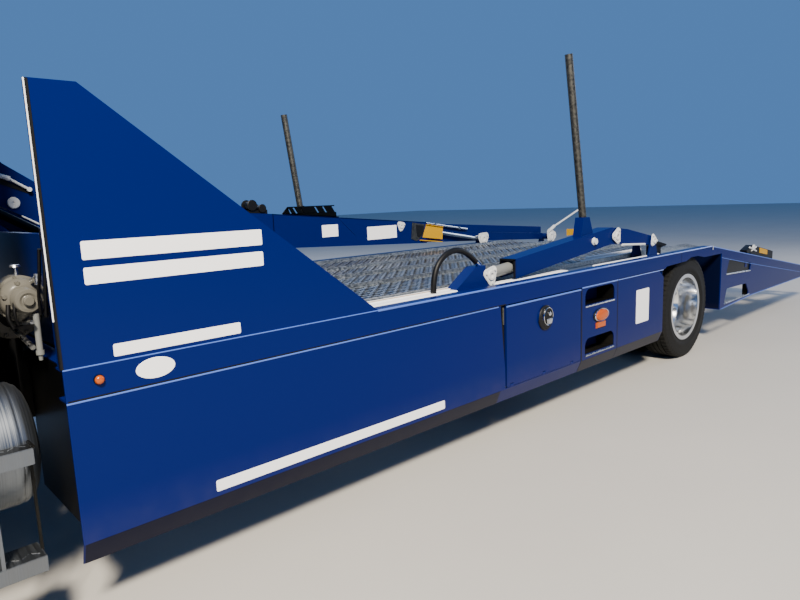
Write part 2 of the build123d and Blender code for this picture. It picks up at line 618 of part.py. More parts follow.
# Over-cab rack: two arms that rise behind the cab and carry two planks over it
RACK_DECK = CAB_TOP + 240.0
RACK_BACK = BED_FRONT - 64.0
RACK_FRONT = HOOD_FRONT - 35.0
RACK_OUT = CAB_HALF + 5.0
RACK_ARM_HALF = 35.0
RACK_BAR_HALF = 30.0
RACK_ARM = (
    # corners as (forward of the bed's front, height)
    (-424.0, RACK_PIVOT[1]), (-324.0, RACK_PIVOT[1]), (-284.0, 1400.0), (-211.0, 1470.0), (-80.0, 1544.0),
    (94.0, 1640.0), (94.0, RACK_DECK - 100), (RACK_FRONT - BED_FRONT, RACK_DECK - 100),
    (RACK_FRONT - BED_FRONT, RACK_DECK), (RACK_BACK - BED_FRONT, RACK_DECK),
    (RACK_BACK - BED_FRONT, 1760.0), (-80.0, 1741.0), (-211.0, 1651.0), (-374.0, 1480.0))


def rack():
    pieces = []
    for side in (1, -1):
        y = side * RACK_Y
        low, high = y - RACK_ARM_HALF, y + RACK_ARM_HALF
        arm = side_plate([(BED_FRONT + ahead, z) for ahead, z in RACK_ARM], low, high)
        arm += rod_y(at(RACK_PIVOT[0]), RACK_PIVOT[1], PIN_R + 32, low, high)
        arm -= rod_y(at(RACK_PIVOT[0]), RACK_PIVOT[1], PIN_R + RUN_GAP, y - 60, y + 60)
        inward = y - side * RACK_CYLINDER_IN
        arm += rod_y(at(RACK_EYE[0]), RACK_EYE[1], PIN_R, *sorted((y, inward - side * 22)))
        arm += rod_y(at(RACK_EYE[0]), RACK_EYE[1], PIN_R + 14, *sorted((y, y - side * 57)))
        pieces.append(arm)
    pieces += both(Pos(0, 0, RACK_DECK) * plank(RACK_BACK, RACK_FRONT - RACK_BACK, RUNWAY_IN, RACK_OUT))
    for x in (RACK_BACK + 40, (RACK_BACK + RACK_FRONT) / 2, RACK_FRONT - 70):
        pieces.append(block(x - RACK_BAR_HALF, x + RACK_BAR_HALF, -RACK_OUT, RACK_OUT,
                            RACK_DECK - 70, RACK_DECK + 1))
    write("rack", fuse(pieces))


# Cab
ROOF_EDGE = CAB_TOP - 90.0
SCREEN_FOOT = CAB_FRONT - 50.0
SCREEN_HEAD = CAB_FRONT - 370.0
SILL = CAB_LOW + CAB_WALL
WINDOW_LOW = CAB_WAIST + 40.0
DOOR_OPENING = [
    (CAB_BACK + 240, SILL), (CAB_FRONT - 100, SILL), (CAB_FRONT - 100, CAB_WAIST - 20),
    (CAB_FRONT - 410, CAB_TOP - 150), (CAB_BACK + 240, CAB_TOP - 150)]
DOOR_WINDOW = [
    (CAB_BACK + 330, WINDOW_LOW), (CAB_FRONT - 215, WINDOW_LOW), (CAB_FRONT - 215, WINDOW_LOW + 35),
    (CAB_FRONT - 460, CAB_TOP - 225), (CAB_BACK + 330, CAB_TOP - 225)]
DOOR_HINGE = (CAB_FRONT - 96.0, CAB_HALF + 10.0)
REAR_WINDOW = (CAB_HALF - 625.0, 1780.0, CAB_TOP - 230.0)
PILLAR = 110.0


def cab_outline(inset):
    """The cab from the side, or its hollow when inset: its slanted corners shift a little more or less."""
    return [
        (CAB_BACK + inset, CAB_LOW + inset), (CAB_FRONT - inset, CAB_LOW + inset),
        (CAB_FRONT - inset, CAB_WAIST - 30), (SCREEN_FOOT - inset, CAB_WAIST),
        (SCREEN_HEAD - inset * 1.2, ROOF_EDGE), (SCREEN_HEAD - 100 - inset, CAB_TOP - inset),
        (CAB_BACK + 90 + inset, CAB_TOP - inset), (CAB_BACK + inset, ROOF_EDGE - inset * 0.4)]


def inset_outline(outline, gap):
    face = make_face(Polyline(*outline, close=True))
    return offset(face, -gap, kind=Kind.INTERSECTION)


def rounded_section(half, low, high, radius, x_low, x_high):
    """A long body whose section, seen from behind, has round upper corners."""
    face = make_face(Polyline((-half, low), (half, low), (half, high), (-half, high), close=True))
    face = fillet(face.vertices().group_by(Axis.Y)[-1], radius)
    return extrude(Plane.YZ.offset(x_low) * face, x_high - x_low)


def rounded_plan(half, x_low, radius, x_high, low, high):
    """An upright body whose plan has round corners at its rear end."""
    face = make_face(Polyline((x_low, -half), (x_high, -half), (x_high, half), (x_low, half), close=True))
    face = fillet(face.vertices().group_by(Axis.X)[0], radius)
    return extrude(Pos(0, 0, low) * face, high - low)


def cab_shell():
    shell = side_plate(cab_outline(0), -CAB_HALF, CAB_HALF)
    shell &= rounded_section(CAB_HALF, CAB_LOW - 200, CAB_TOP, 75, CAB_BACK - 10, CAB_FRONT + 10)
    shell &= rounded_plan(CAB_HALF, CAB_BACK, 70, CAB_FRONT + 10, CAB_LOW - 10, CAB_TOP + 10)
    shell -= side_plate(cab_outline(CAB_WALL), -CAB_HALF + CAB_WALL, CAB_HALF - CAB_WALL)
    doors = side_plate(DOOR_OPENING, -CAB_HALF - 10, -CAB_HALF + CAB_WALL + 5)
    shell -= doors
    shell -= mirrored(doors)
    windscreen = [
        (CAB_FRONT - 250, CAB_WAIST + 60), (CAB_FRONT + 50, CAB_WAIST + 60),
        (CAB_FRONT - 300, CAB_TOP - 150), (CAB_FRONT - 600, CAB_TOP - 150)]
    shell -= side_plate(windscreen, -CAB_HALF + PILLAR, CAB_HALF - PILLAR)
    shell -= block(CAB_BACK - 10, CAB_BACK + 60, -REAR_WINDOW[0], *REAR_WINDOW)
    write("cab_shell", shell)


def windscreen_glass():
    lower = (SCREEN_FOOT, CAB_WAIST)
    upper = (SCREEN_HEAD, ROOF_EDGE)
    run = (upper[0] - lower[0], upper[1] - lower[1])
    size = math.hypot(*run)
    normal = (run[1] / size, -run[0] / size)

    def inside(z, depth):
        x = lower[0] + (z - lower[1]) * run[0] / run[1]
        return (x - depth * normal[0], z - depth * normal[1])

    low, high = CAB_WAIST + 70, CAB_TOP - 154
    outline = [inside(low, 12), inside(high, 12), inside(high, 12 + GLASS), inside(low, 12 + GLASS)]
    return side_plate(outline, -CAB_HALF + PILLAR + SEAT, CAB_HALF - PILLAR - SEAT)


def cab_glass():
    rear = block(CAB_BACK + 18, CAB_BACK + 18 + GLASS, -REAR_WINDOW[0], *REAR_WINDOW)
    write("cab_glass", windscreen_glass(), rear)


def door(side):
    name = "left" if side > 0 else "right"
    panel = extrude(Plane.XZ.offset(-CAB_HALF) * inset_outline(DOOR_OPENING, DOOR_GAP), CAB_WALL)
    panel -= side_plate(DOOR_WINDOW, CAB_HALF - CAB_WALL - 5, CAB_HALF + 5)
    for z in (SILL + 115, CAB_WAIST - 160):
        panel += rod_z(*DOOR_HINGE, 9, z, z + 90)
        panel += block(CAB_FRONT - 130, DOOR_HINGE[0] - 5, CAB_HALF, CAB_HALF + 9, z + 10, z + 80)
    handle = CAB_BACK + 290
    panel += block(handle, handle + 110, CAB_HALF - 2, CAB_HALF + 22, CAB_WAIST - 100, CAB_WAIST - 70)
    pane = extrude(Plane.XZ.offset(-CAB_HALF + 20) * make_face(Polyline(*DOOR_WINDOW, close=True)), GLASS)
    if side < 0:
        panel, pane = mirrored(panel), mirrored(pane)
    write(f"door_{name}", panel)
    write(f"door_glass_{name}", pane)


SEAT_Y = CAB_HALF - 575.0
SEAT_HALF = 240.0
SEAT_BACK = CAB_BACK + 220.0
SEAT_LOW = 1400.0


def cab_interior():
    seats = []
    for side in (1, -1):
        low, high = side * SEAT_Y - SEAT_HALF, side * SEAT_Y + SEAT_HALF
        seat = block(SEAT_BACK + 80, SEAT_BACK + 580, low, high, SEAT_LOW, SEAT_LOW + 120)
        seat += block(SEAT_BACK, SEAT_BACK + 120, low, high, SEAT_LOW, SEAT_LOW + 680)
        seat += block(SEAT_BACK + 140, SEAT_BACK + 480, low + 60, high - 60, SILL, SEAT_LOW + 2)
        seats.append(seat)
    front, foot, top = CAB_FRONT - CAB_WALL, SILL + 165, CAB_WAIST - 35
    outline = [(front, foot), (front - 255, foot), (front - 305, top - 65), (front - 255, top), (front, top)]
    dash = side_plate(outline, -CAB_HALF + CAB_WALL, CAB_HALF - CAB_WALL)
    hub = (front - 475, top - 25)
    column = bar_between((front - 265, hub[1] - 100), hub, 22, SEAT_Y)
    ring = Pos(hub[0], SEAT_Y, hub[1]) * Rot(0, -64, 0) * Torus(215, 15)
    spokes = Pos(hub[0], SEAT_Y, hub[1]) * Rot(0, -64, 0) * (Box(28, 420, 12) + Box(420, 28, 12))
    write("cab_interior", *seats, dash + column + ring + spokes)


def mirrors():
    stalk = CAB_HALF + 195.0
    head = block(CAB_FRONT - 40, CAB_FRONT + 20, stalk - 60, stalk + 110, 1700, 2080)
    arm = block(CAB_FRONT - 110, CAB_FRONT - 88, CAB_HALF, stalk + 22, 1666, 1686)
    arm += block(CAB_FRONT - 110, CAB_FRONT, stalk, stalk + 22, 1666, 1686)
    arm += block(CAB_FRONT - 20, CAB_FRONT, stalk, stalk + 22, 1666, 1702)
    head = fillet(head.edges().filter_by(Axis.Z), 22)
    pair = head + arm
    write("mirrors", *both(pair))


# Hood, grille and headlamps, hinged at the front
HOOD_REAR = CAB_FRONT + 8.0
HOOD_SKIN = 24.0
HOOD_REAR_HALF = 650.0
HOOD_FRONT_HALF = 545.0
HOOD_REAR_TOP = 1640.0
HOOD_FRONT_TOP = 1400.0
NOSE_R = 150.0
NOSE_LOW = 700.0
NOSE_BACK = HOOD_FRONT - 325.0
WING_LOW = 640.0
WING_OUT = SIDE - 80.0
WING_RISE = 85.0
WING_ROUND = 55.0
GRILLE_HALF = 430.0
HEADLAMP = (WING_OUT - 425.0, WING_OUT - 85.0, NOSE_LOW, NOSE_LOW + 150.0)
GRILLE_LOW = 760.0
GRILLE_HIGH = 1250.0


def hood_side(inset):
    """The hood from the side: level foot, upright nose with a round brow, sloping top."""
    rear = HOOD_REAR - (5.0 if inset else 0.0)
    foot = WHEEL_Z + ARCH_R + 15.0 - inset
    points = [
        (rear, foot), (NOSE_BACK - 80 - inset, foot), (NOSE_BACK - inset, NOSE_LOW - inset),
        (HOOD_FRONT - inset, NOSE_LOW - inset),
        (HOOD_FRONT - inset, HOOD_FRONT_TOP - inset), (rear, HOOD_REAR_TOP - inset)]
    face = make_face(Polyline(*points, close=True))
    face = fillet(face.vertices().group_by(Axis.X)[-1].sort_by(Axis.Y)[-1], NOSE_R - inset)
    return extrude(Plane.XZ.offset(-HOOD_REAR_HALF) * face, 2 * HOOD_REAR_HALF)


def round_top(x, half, high, radius):
    """A section across the hood, its upper corners round, its foot below the hood's."""
    face = make_face(Polyline((-half, 0), (half, 0), (half, high), (-half, high), close=True))
    return Plane.YZ.offset(x) * fillet(face.vertices().group_by(Axis.Y)[-1], radius)


def hood_body(inset):
    """The hood's outer form, or its hollow when inset: it narrows and drops towards the nose."""
    ends = [
        round_top(HOOD_REAR - 10, HOOD_REAR_HALF - inset, HOOD_REAR_TOP - inset, 110 - inset),
        round_top(HOOD_FRONT + 10, HOOD_FRONT_HALF - inset, HOOD_FRONT_TOP - inset, 110 - inset)]
    return hood_side(inset) & loft(ends)


def wing_side():
    """The wing from the side: an arc over the wheel, running down to the bumper."""
    arc = Pos(AXLE_F, WHEEL_Z) * Circle(ARCH_R + WING_RISE)
    top = WHEEL_Z + ARCH_R + WING_RISE
    run = make_face(Polyline(
        (AXLE_F, NOSE_LOW), (AXLE_F, top), (HOOD_FRONT - 635, top - 20), (HOOD_FRONT - 315, top - 100),
        (HOOD_FRONT - 85, top - 180), (HOOD_FRONT, top - 250), (HOOD_FRONT, WING_LOW),
        (HOOD_FRONT - 485, WING_LOW), close=True))
    middle = ((HOOD_REAR + 4 + HOOD_FRONT) / 2, (WING_LOW + top) / 2)
    return (arc + run) & (Pos(*middle) * Rectangle(HOOD_FRONT - HOOD_REAR - 4, top - WING_LOW))


def hood():
    hollow = hood_body(HOOD_SKIN)
    shell = hood_body(0) - hollow
    shell -= block(HOOD_FRONT - 40, HOOD_FRONT + 10, -GRILLE_HALF, GRILLE_HALF, GRILLE_LOW, GRILLE_HIGH)
    wing = extrude(Plane.XZ.offset(-WING_OUT) * wing_side(), WING_OUT - HOOD_FRONT_HALF + HOOD_SKIN - 4)
    outer = [edge for edge in wing.edges() if edge.center().Y > WING_OUT - 1 and edge.center().Z > NOSE_LOW]
    wing = fillet(outer, WING_ROUND)
    wing -= hollow
    inner = HOOD_FRONT_HALF - 45
    wing -= rod_y(AXLE_F, WHEEL_Z, ARCH_R, inner, SIDE)
    wing -= block(AXLE_F - ARCH_R - 60, AXLE_F, inner, WING_OUT - HOOD_SKIN, WING_LOW - 40, 960)
    wing -= block(HOOD_FRONT - 365, HOOD_FRONT - HOOD_SKIN, inner, WING_OUT - HOOD_SKIN, WING_LOW - 40, 800)
    wing -= block(HOOD_FRONT - 60, HOOD_FRONT + 10, *HEADLAMP)
    whole = fuse([shell, wing, mirrored(wing)])
    for side in (1, -1):
        y = side * (FRAME_Y - 20.0)
        lug = block(HOOD_FRONT - 40, HOOD_PIVOT[0] + 15, y + 14, y + 26, HOOD_PIVOT[1] - 15, 720)
        lug += block(HOOD_FRONT - 40, HOOD_PIVOT[0] + 15, y - 26, y - 14, HOOD_PIVOT[1] - 15, 720)
        lug += rod_y(*HOOD_PIVOT, 12.0, y - 26, y + 26)
        whole += lug
    write("hood", whole)
    rows = 8
    pitch = (GRILLE_HIGH - GRILLE_LOW - 24) / (rows - 1)
    bars = [block(HOOD_FRONT - 30, HOOD_FRONT - 2, -GRILLE_HALF, GRILLE_HALF, low, low + 24)
            for low in (GRILLE_LOW + i * pitch for i in range(rows))]
    uprights = [block(HOOD_FRONT - 34, HOOD_FRONT - 12, y - 8, y + 8, GRILLE_LOW, GRILLE_HIGH)
                for y in (-GRILLE_HALF / 2, 0.0, GRILLE_HALF / 2)]
    write("grille", fuse(bars + uprights))
    lamp = block(HOOD_FRONT - 55, HOOD_FRONT - 4, *HEADLAMP)
    write("headlamps", *both(fillet(lamp.edges().filter_by(Axis.X), 20)))


BUMPER_LOW = 330.0
BUMPER_HIGH = 628.0


def front_bumper():
    nose, corner = LENGTH / 2, SIDE - 80.0
    plan = [
        (nose, 0), (nose, corner - 235), (nose - 60, corner), (nose - 130, corner),
        (nose - 110, corner - 75), (nose - 85, corner - 255), (nose - 85, 0)]
    half = extrude(Pos(0, 0, BUMPER_LOW) * make_face(Polyline(*plan, close=True)), BUMPER_HIGH - BUMPER_LOW)
    hollow = [
        (nose - 8, -1), (nose - 8, corner - 241), (nose - 66, corner - 15), (nose - 100, corner - 25),
        (nose - 90, -1)]
    half -= extrude(Pos(0, 0, BUMPER_LOW + 8) * make_face(Polyline(*hollow, close=True)),
                    BUMPER_HIGH - BUMPER_LOW - 16)
    bracket = block(FRAME_FRONT, nose - 7, FRAME_Y - 78, FRAME_Y - 36, 560, 620)
    write("front_bumper", fuse([half, mirrored(half), bracket, mirrored(bracket)]))


# Engine, tanks, steps and exhaust
GEARBOX_REAR = AXLE_F - 1070.0


def engine():
    rear = AXLE_F - 390
    block_in = block(rear, AXLE_F + 470, -300, 300, 640, 1330)
    gearbox = block(GEARBOX_REAR, rear + 1, -190, 190, 500, 900)
    gearbox = fillet(gearbox.edges().filter_by(Axis.X), 60)
    inner = FRAME_Y - FRAME_FLANGE - SEAT
    radiator = block(NOSE_BACK, NOSE_BACK + 80, -inner, inner, 640, 1300)
    mount = block(AXLE_F + 30, AXLE_F + 130, 299, FRAME_Y - FRAME_WEB - SEAT, 690, 740)
    write("engine", fuse([block_in, gearbox, mount, mirrored(mount)]), radiator)


TANK_R = 230.0
TANK_Y = SIDE - 310.0
TANK_Z = 684.0
TANK_REAR = CAB_BACK - 10.0
TANK_LENGTH = 1160.0
STRAPS = (130.0, 580.0, 1030.0)
STRAP_HALF = 22.0
STEP_TOP = 740.0
STEP_LOW = 325.0


def fuel_tanks():
    tank = rod_x(TANK_Y, TANK_Z, TANK_R, TANK_REAR, TANK_REAR + TANK_LENGTH)
    tank = fillet(tank.edges().filter_by(GeomType.CIRCLE), 28)
    for place in STRAPS:
        rear, front = TANK_REAR + place - STRAP_HALF, TANK_REAR + place + STRAP_HALF
        tank += rod_x(TANK_Y, TANK_Z, TANK_R + 4, rear, front)
        tank += block(rear, front, FRAME_Y, TANK_Y - 120, TANK_Z - 44, TANK_Z + 44)
    write("fuel_tanks", *both(tank))


def cab_steps():
    outer = SIDE - 5
    inner = TANK_Y + TANK_R + 6
    front = TANK_REAR + TANK_LENGTH - 10
    steps = [
        block(TANK_REAR, front, inner, outer, STEP_TOP - 25, STEP_TOP),
        block(TANK_REAR, front, inner - 60, outer, STEP_LOW, STEP_LOW + 25)]
    for place in STRAPS:
        x = TANK_REAR + place
        steps.append(block(x - 6, x + 6, TANK_Y + TANK_R + 4 + SEAT, outer, STEP_LOW, STEP_TOP))
    write("cab_steps", *both(fuse(steps)))


def exhaust():
    x, z = CAB_BACK - 117, CAB_LOW + 140
    outer = CAB_HALF - 325
    canister = rod_y(x, z, 100, 300, outer)
    canister = fillet(canister.edges().filter_by(GeomType.CIRCLE), 16)
    canister += rod_y(x, z, 60, outer - 1, outer + 20)
    canister += rod_z(x, outer - 60, 45, 700, z - 40)
    canister += block(x - 40, x + 40, FRAME_Y - 50, FRAME_Y - 10, FRAME_TOP, z - 70)
    write("exhaust", canister)


# Axles, steering and wheels
def spring(x, y_in, y_out, seat_z):
    """A leaf pack: flat on the axle, its eyes under the frame's hangers."""
    outline = [
        (x - SPRING_HALF - 35, SPRING_TOP), (x - SPRING_HALF + 35, SPRING_TOP), (x - 120, seat_z + 62),
        (x + 120, seat_z + 62), (x + SPRING_HALF - 35, SPRING_TOP), (x + SPRING_HALF + 35, SPRING_TOP),
        (x + SPRING_HALF + 35, SPRING_TOP - 22), (x + 110, seat_z), (x - 110, seat_z),
        (x - SPRING_HALF - 35, SPRING_TOP - 22)]
    return side_plate(outline, y_in, y_out)


KINGPIN_Y = FRONT_WHEEL_Y - 150.0
ARM_LENGTH = 180.0
ROD_Z = 365.0


def front_axle():
    section = [
        (-KINGPIN_Y, 412), (-KINGPIN_Y, 518), (-620, 518), (-480, 470), (480, 470), (620, 518),
        (KINGPIN_Y, 518), (KINGPIN_Y, 412), (640, 412), (500, 365), (-500, 365), (-640, 412)]
    beam = cross_plate(section, AXLE_F - 45, AXLE_F + 45)
    for side in (1, -1):
        beam += rod_z(AXLE_F, side * KINGPIN_Y, 42, 412, 518)
        leaf = sorted((side * SPRING_F_IN, side * SPRING_F_OUT))
        beam += block(AXLE_F - 110, AXLE_F + 110, *leaf, 468, 500)
        beam += spring(AXLE_F, *leaf, 499)
        for x in (AXLE_F - SPRING_HALF, AXLE_F + SPRING_HALF):
            beam += block(x - 30, x + 30, *leaf, SPRING_TOP - 2, FRAME_LOW)
    for side in (1, -1):
        beam -= rod_z(AXLE_F, side * KINGPIN_Y, PIN_R + RUN_GAP, 400, 530)
    write("front_axle", beam)


def knuckle():
    body = rod_z(AXLE_F, KINGPIN_Y, PIN_R, 360, 570)
    for low in (523.0, 357.0):
        body += block(AXLE_F - 40, AXLE_F + 40, KINGPIN_Y - 40, KINGPIN_Y + 82, low, low + 50)
    body += block(AXLE_F - 60, AXLE_F + 60, KINGPIN_Y + 50, KINGPIN_Y + 84, 357, 573)
    body += rod_y(AXLE_F, WHEEL_Z, SPINDLE_R, KINGPIN_Y + 80, FRONT_WHEEL_Y + DISC_OFFSET)
    body += block(AXLE_F - ARM_LENGTH - 30, AXLE_F, KINGPIN_Y - 25, KINGPIN_Y + 25, 385, 405)
    body -= rod_z(AXLE_F - ARM_LENGTH, KINGPIN_Y, 12 + RUN_GAP, 370, 420)
    return body


def steering():
    write("knuckle_left", knuckle())
    write("knuckle_right", mirrored(knuckle()))
    rod = rod_y(AXLE_F - ARM_LENGTH, ROD_Z, 17, -KINGPIN_Y + 10, KINGPIN_Y - 10)
    for side in (1, -1):
        rod += rod_z(AXLE_F - ARM_LENGTH, side * KINGPIN_Y, 24, ROD_Z - 18, ROD_Z + 19.7)
        rod += rod_z(AXLE_F - ARM_LENGTH, side * KINGPIN_Y, 12, ROD_Z, 412)
    write("tie_rod", rod)


def rear_axle():
    tube = rod_y(AXLE_R, WHEEL_Z, 62, -640, 640)
    tube += rod_y(AXLE_R, WHEEL_Z, SPINDLE_R, -DUAL_OUTER_Y + 60, DUAL_OUTER_Y - 60)
    tube += Pos(AXLE_R, 0, WHEEL_Z) * Rot(90, 0, 0) * Cone(190, 70, 260)
    tube += Pos(AXLE_R, 0, WHEEL_Z) * Rot(-90, 0, 0) * Cone(190, 70, 260)
    tube += rod_x(0, WHEEL_Z, 120, AXLE_R, AXLE_R + 300)
    for side in (1, -1):
        inner, outer = sorted((side * SPRING_R_IN, side * SPRING_R_OUT))
        tube += block(AXLE_R - 110, AXLE_R + 110, inner, outer, WHEEL_Z + 30, WHEEL_Z + 66)
        tube += spring(AXLE_R, inner, outer, WHEEL_Z + 65)
    tube += bar_between((AXLE_R + 290, WHEEL_Z + 4), (GEARBOX_REAR - 4, 620), 48, 0)
    write("rear_axle", tube)


def tyre_profile():
    """Tyre section as (radius, width from the tyre's middle)."""
    half = TYRE_W / 2
    tread = TYRE_D / 2
    bead = LIP_D / 2 - 8
    return [
        (bead, -half + 26), (bead + 62, -half), (tread - 62, -half + 2), (tread - 14, -half + 14),
        (tread, -half + 34), (tread, half - 34), (tread - 14, half - 14), (tread - 62, half - 2),
        (bead + 62, half), (bead, half - 26)]


def turned(profile, y):
    """A ring about the Y axis from points (radius, width)."""
    ring = revolve(make_face(Polyline(*profile, close=True)), Axis.Y)
    return Pos(0, y, 0) * ring


def rim(sign):
    """Rim about its own middle, the disc on the side that sign gives."""
    half = RIM_W / 2
    bead = LIP_D / 2 - 8 - SEAT
    lip = LIP_D / 2
    section = [
        (bead - 24, -half), (lip, -half - 2), (lip, -half + 8), (bead, -half + 12), (bead - 10, -half + 40),
        (bead - 10, half - 40), (bead, half - 12), (lip, half - 8), (lip, half + 2), (bead - 24, half)]
    barrel = turned(section, 0)
    depth = sign * DISC_OFFSET
    disc = [
        (bead - 12, sign * 60.0), (bead - 12, sign * 90.0), (215, depth), (HUB_R - 2, depth),
        (HUB_R - 2, depth - sign * 22), (208, depth - sign * 22), (bead - 34, sign * 66.0)]
    wheel = barrel + turned(disc, 0)
    for i in range(10):
        angle = math.radians(36 * i + 18)
        hole = rod_y(228 * math.cos(angle), 228 * math.sin(angle), 27, -250, 250)
        wheel -= hole
    return wheel


def wheel(node, x, y_places, hub_low, hub_high):
    """Tyres and rims on one hub: y_places holds (middle, side of the disc)."""
    tyres = [Pos(x, 0, WHEEL_Z) * turned(tyre_profile(), y) for y, sign in y_places]
    rims = [Pos(x, y, WHEEL_Z) * rim(sign) for y, sign in y_places]
    hub = rod_y(x, WHEEL_Z, HUB_R, *sorted((hub_low, hub_high)))
    hub -= rod_y(x, WHEEL_Z, SPINDLE_R + RUN_GAP, *sorted((hub_low - 1, hub_high + 1)))
    side = 1 if hub_high > 0 else -1
    cap_low = hub_high if side > 0 else hub_low
    cap = rod_y(x, WHEEL_Z, 80, *sorted((cap_low, cap_low + side * 24)))
    write(f"tyres_{node}", *tyres)
    write(f"rims_{node}", fuse(rims + [hub, cap]))


def wheels():
    for name, side in (("left", 1), ("right", -1)):
        disc = side * (FRONT_WHEEL_Y + DISC_OFFSET)
        wheel(f"front_{name}", AXLE_F, [(side * FRONT_WHEEL_Y, side)],
              *sorted((side * (KINGPIN_Y + 95), disc + side * 4)))
        disc = side * (DUAL_OUTER_Y - 60 + 2)
        wheel(f"rear_{name}", AXLE_R, [(side * DUAL_OUTER_Y, -side), (side * DUAL_INNER_Y, side)],
              *sorted((side * 700.0, disc)))


# Lamps
def lamps():
    shapes = []
    marker = rod_y(BED_FRONT - 115, DECK_Z - 56, 15, SIDE, SIDE + 6)
    turn = Pos(at(1573), SIDE, 635) * Rot(-90, 0, 0) * extrude(Ellipse(92, 40), 8)
    reflector = block(at(1515), at(1645), SIDE, SIDE + 6, 543, 583)
    shapes += both(marker) + both(turn) + both(reflector)
    for y in (SIDE - 95, SIDE - 165, SIDE - 235):
        shapes += both(rod_x(y, 370, 20, TAIL_X, TAIL_X + 8))
    write("lamps", *shapes)


os.makedirs("parts", exist_ok=True)
frame()
deck_frame()
side_panels()
toolboxes()
toolbox_doors()
headboard()
tail_frame()
runways()
edge_plates()
deck_brackets()
hydraulic_hose()
lift_arm()
posts()
lift_beam()
rack()
for row in CYLINDERS:
    cylinder(*row)
cab_shell()
cab_glass()
door(1)
door(-1)
cab_interior()
mirrors()
hood()
front_bumper()
engine()
fuel_tanks()
cab_steps()
exhaust()
front_axle()
steering()
rear_axle()
wheels()
lamps()
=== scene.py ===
# %% [markdown]
# # A car transporter truck
#
# This lesson dresses the CAD model of a rigid car transporter truck: a low galvanised deck between folded
# blue skirts, a blue cab in front, a sloping tail behind and hydraulic lifting gear on both sides. The CAD
# solids are the fixed frame. Everything here is measured in metres: +X forward, +Y the truck's left, +Z up,
# with the ground at zero. Each piece added below rides on the CAD body that carries it.

# %% The frame
import bmesh
import bpy
import math
from mathutils import Matrix, Vector


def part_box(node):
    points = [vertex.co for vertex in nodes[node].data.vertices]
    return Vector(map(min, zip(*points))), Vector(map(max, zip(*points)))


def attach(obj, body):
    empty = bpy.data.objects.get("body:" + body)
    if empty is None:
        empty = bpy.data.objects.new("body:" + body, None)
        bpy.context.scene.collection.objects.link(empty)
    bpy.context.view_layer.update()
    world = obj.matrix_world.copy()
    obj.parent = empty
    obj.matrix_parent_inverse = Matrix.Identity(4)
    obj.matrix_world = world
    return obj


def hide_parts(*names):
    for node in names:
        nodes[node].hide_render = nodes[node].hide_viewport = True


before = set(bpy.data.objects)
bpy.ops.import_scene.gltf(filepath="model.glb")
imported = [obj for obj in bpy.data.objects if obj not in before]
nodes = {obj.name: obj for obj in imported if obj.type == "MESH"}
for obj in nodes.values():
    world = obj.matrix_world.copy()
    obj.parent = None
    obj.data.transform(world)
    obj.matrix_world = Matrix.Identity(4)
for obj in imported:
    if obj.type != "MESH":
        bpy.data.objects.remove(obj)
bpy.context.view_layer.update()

# %% [markdown]
# ## The camera
#
# The reference is seen from beside the cab, looking back along the left side. The camera could be aimed
# at a point by eye, but its place was found from the straight edges of the side panel and the size of the
# rear wheel, so it is set here from those four results: place, turn, dip and the roll of a hand-held shot.

# %% The camera
CAMERA_AT = Vector((3.654, 3.631, 1.518))
CAMERA_TURN = math.radians(42.917)
CAMERA_DIP = math.radians(8.954)
CAMERA_ROLL = math.radians(2.181)
SENSOR = 36.0
FOCAL = SENSOR * 631.09 / 800


def into_scene(name, data):
    """A new object for some data, linked to the scene."""
    made = bpy.data.objects.new(name, data)
    bpy.context.scene.collection.objects.link(made)
    return made


def set_camera():
    """A camera from its turn about the vertical, its dip below the level and its roll."""
    flat = math.cos(CAMERA_DIP)
    ahead = Vector((-math.sin(CAMERA_TURN) * flat, -math.cos(CAMERA_TURN) * flat, -math.sin(CAMERA_DIP)))
    right = Vector((-math.cos(CAMERA_TURN), math.sin(CAMERA_TURN), 0))
    down = ahead.cross(right)
    level = math.cos(CAMERA_ROLL)
    lean = math.sin(CAMERA_ROLL)
    right, down = right * level + down * lean, down * level - right * lean
    data = bpy.data.cameras.new("camera")
    data.sensor_width = SENSOR
    data.lens = FOCAL
    data.clip_end = 200
    camera = into_scene("camera", data)
    turn = Matrix((right, -down, -ahead)).transposed()
    camera.matrix_world = Matrix.Translation(CAMERA_AT) @ turn.to_4x4()
    bpy.context.scene.camera = camera
    return ahead


print("camera looks along", [round(part, 3) for part in set_camera()])

# %% [markdown]
# ## Nodes and colours
#
# Each material here is made of nodes. One function turns the familiar hex value of a colour into the
# linear value that a shader needs, and one adds a node with its settings and links. A material could be
# a few sliders on one shader, but dust, chips and grain need patterns, and patterns need nodes. What a
# pattern gives is linked to the shader by a third function, which goes by the names of the shader's sockets.

# %% Helpers for materials
def paint(code):
    """The linear colour of an sRGB hex value."""
    shares = [int(code[i:i + 2], 16) / 255 for i in (0, 2, 4)]
    return tuple(c / 12.92 if c <= 0.04045 else ((c + 0.055) / 1.055) ** 2.4 for c in shares) + (1.0,)


def add(tree, kind, inputs=(), **settings):
    """Adds a node. inputs pairs a socket's name or number with a value or with an output to link."""
    made = tree.nodes.new(kind)
    for name, value in settings.items():
        setattr(made, name, value)
    for name, value in dict(inputs).items():
        if isinstance(value, bpy.types.NodeSocket):
            tree.links.new(value, made.inputs[name])
        else:
            made.inputs[name].default_value = value
    return made


def finish_of(name, **shader):
    """A material with its shader's constants set, and the place on the truck as its pattern's ground."""
    material = bpy.data.materials.new(name)
    material.use_nodes = True
    tree = material.node_tree
    surface = tree.nodes["Principled BSDF"]
    for socket, value in shader.items():
        surface.inputs[socket.replace("_", " ")].default_value = value
    place = add(tree, "ShaderNodeTexCoord").outputs["Object"]
    return material, tree, surface, place


def feed(tree, surface, **outputs):
    """Links what the patterns give to the shader's sockets."""
    for socket, output in outputs.items():
        tree.links.new(output, surface.inputs[socket.replace("_", " ")])


print("blue in linear light", [round(c, 4) for c in paint("02308a")])

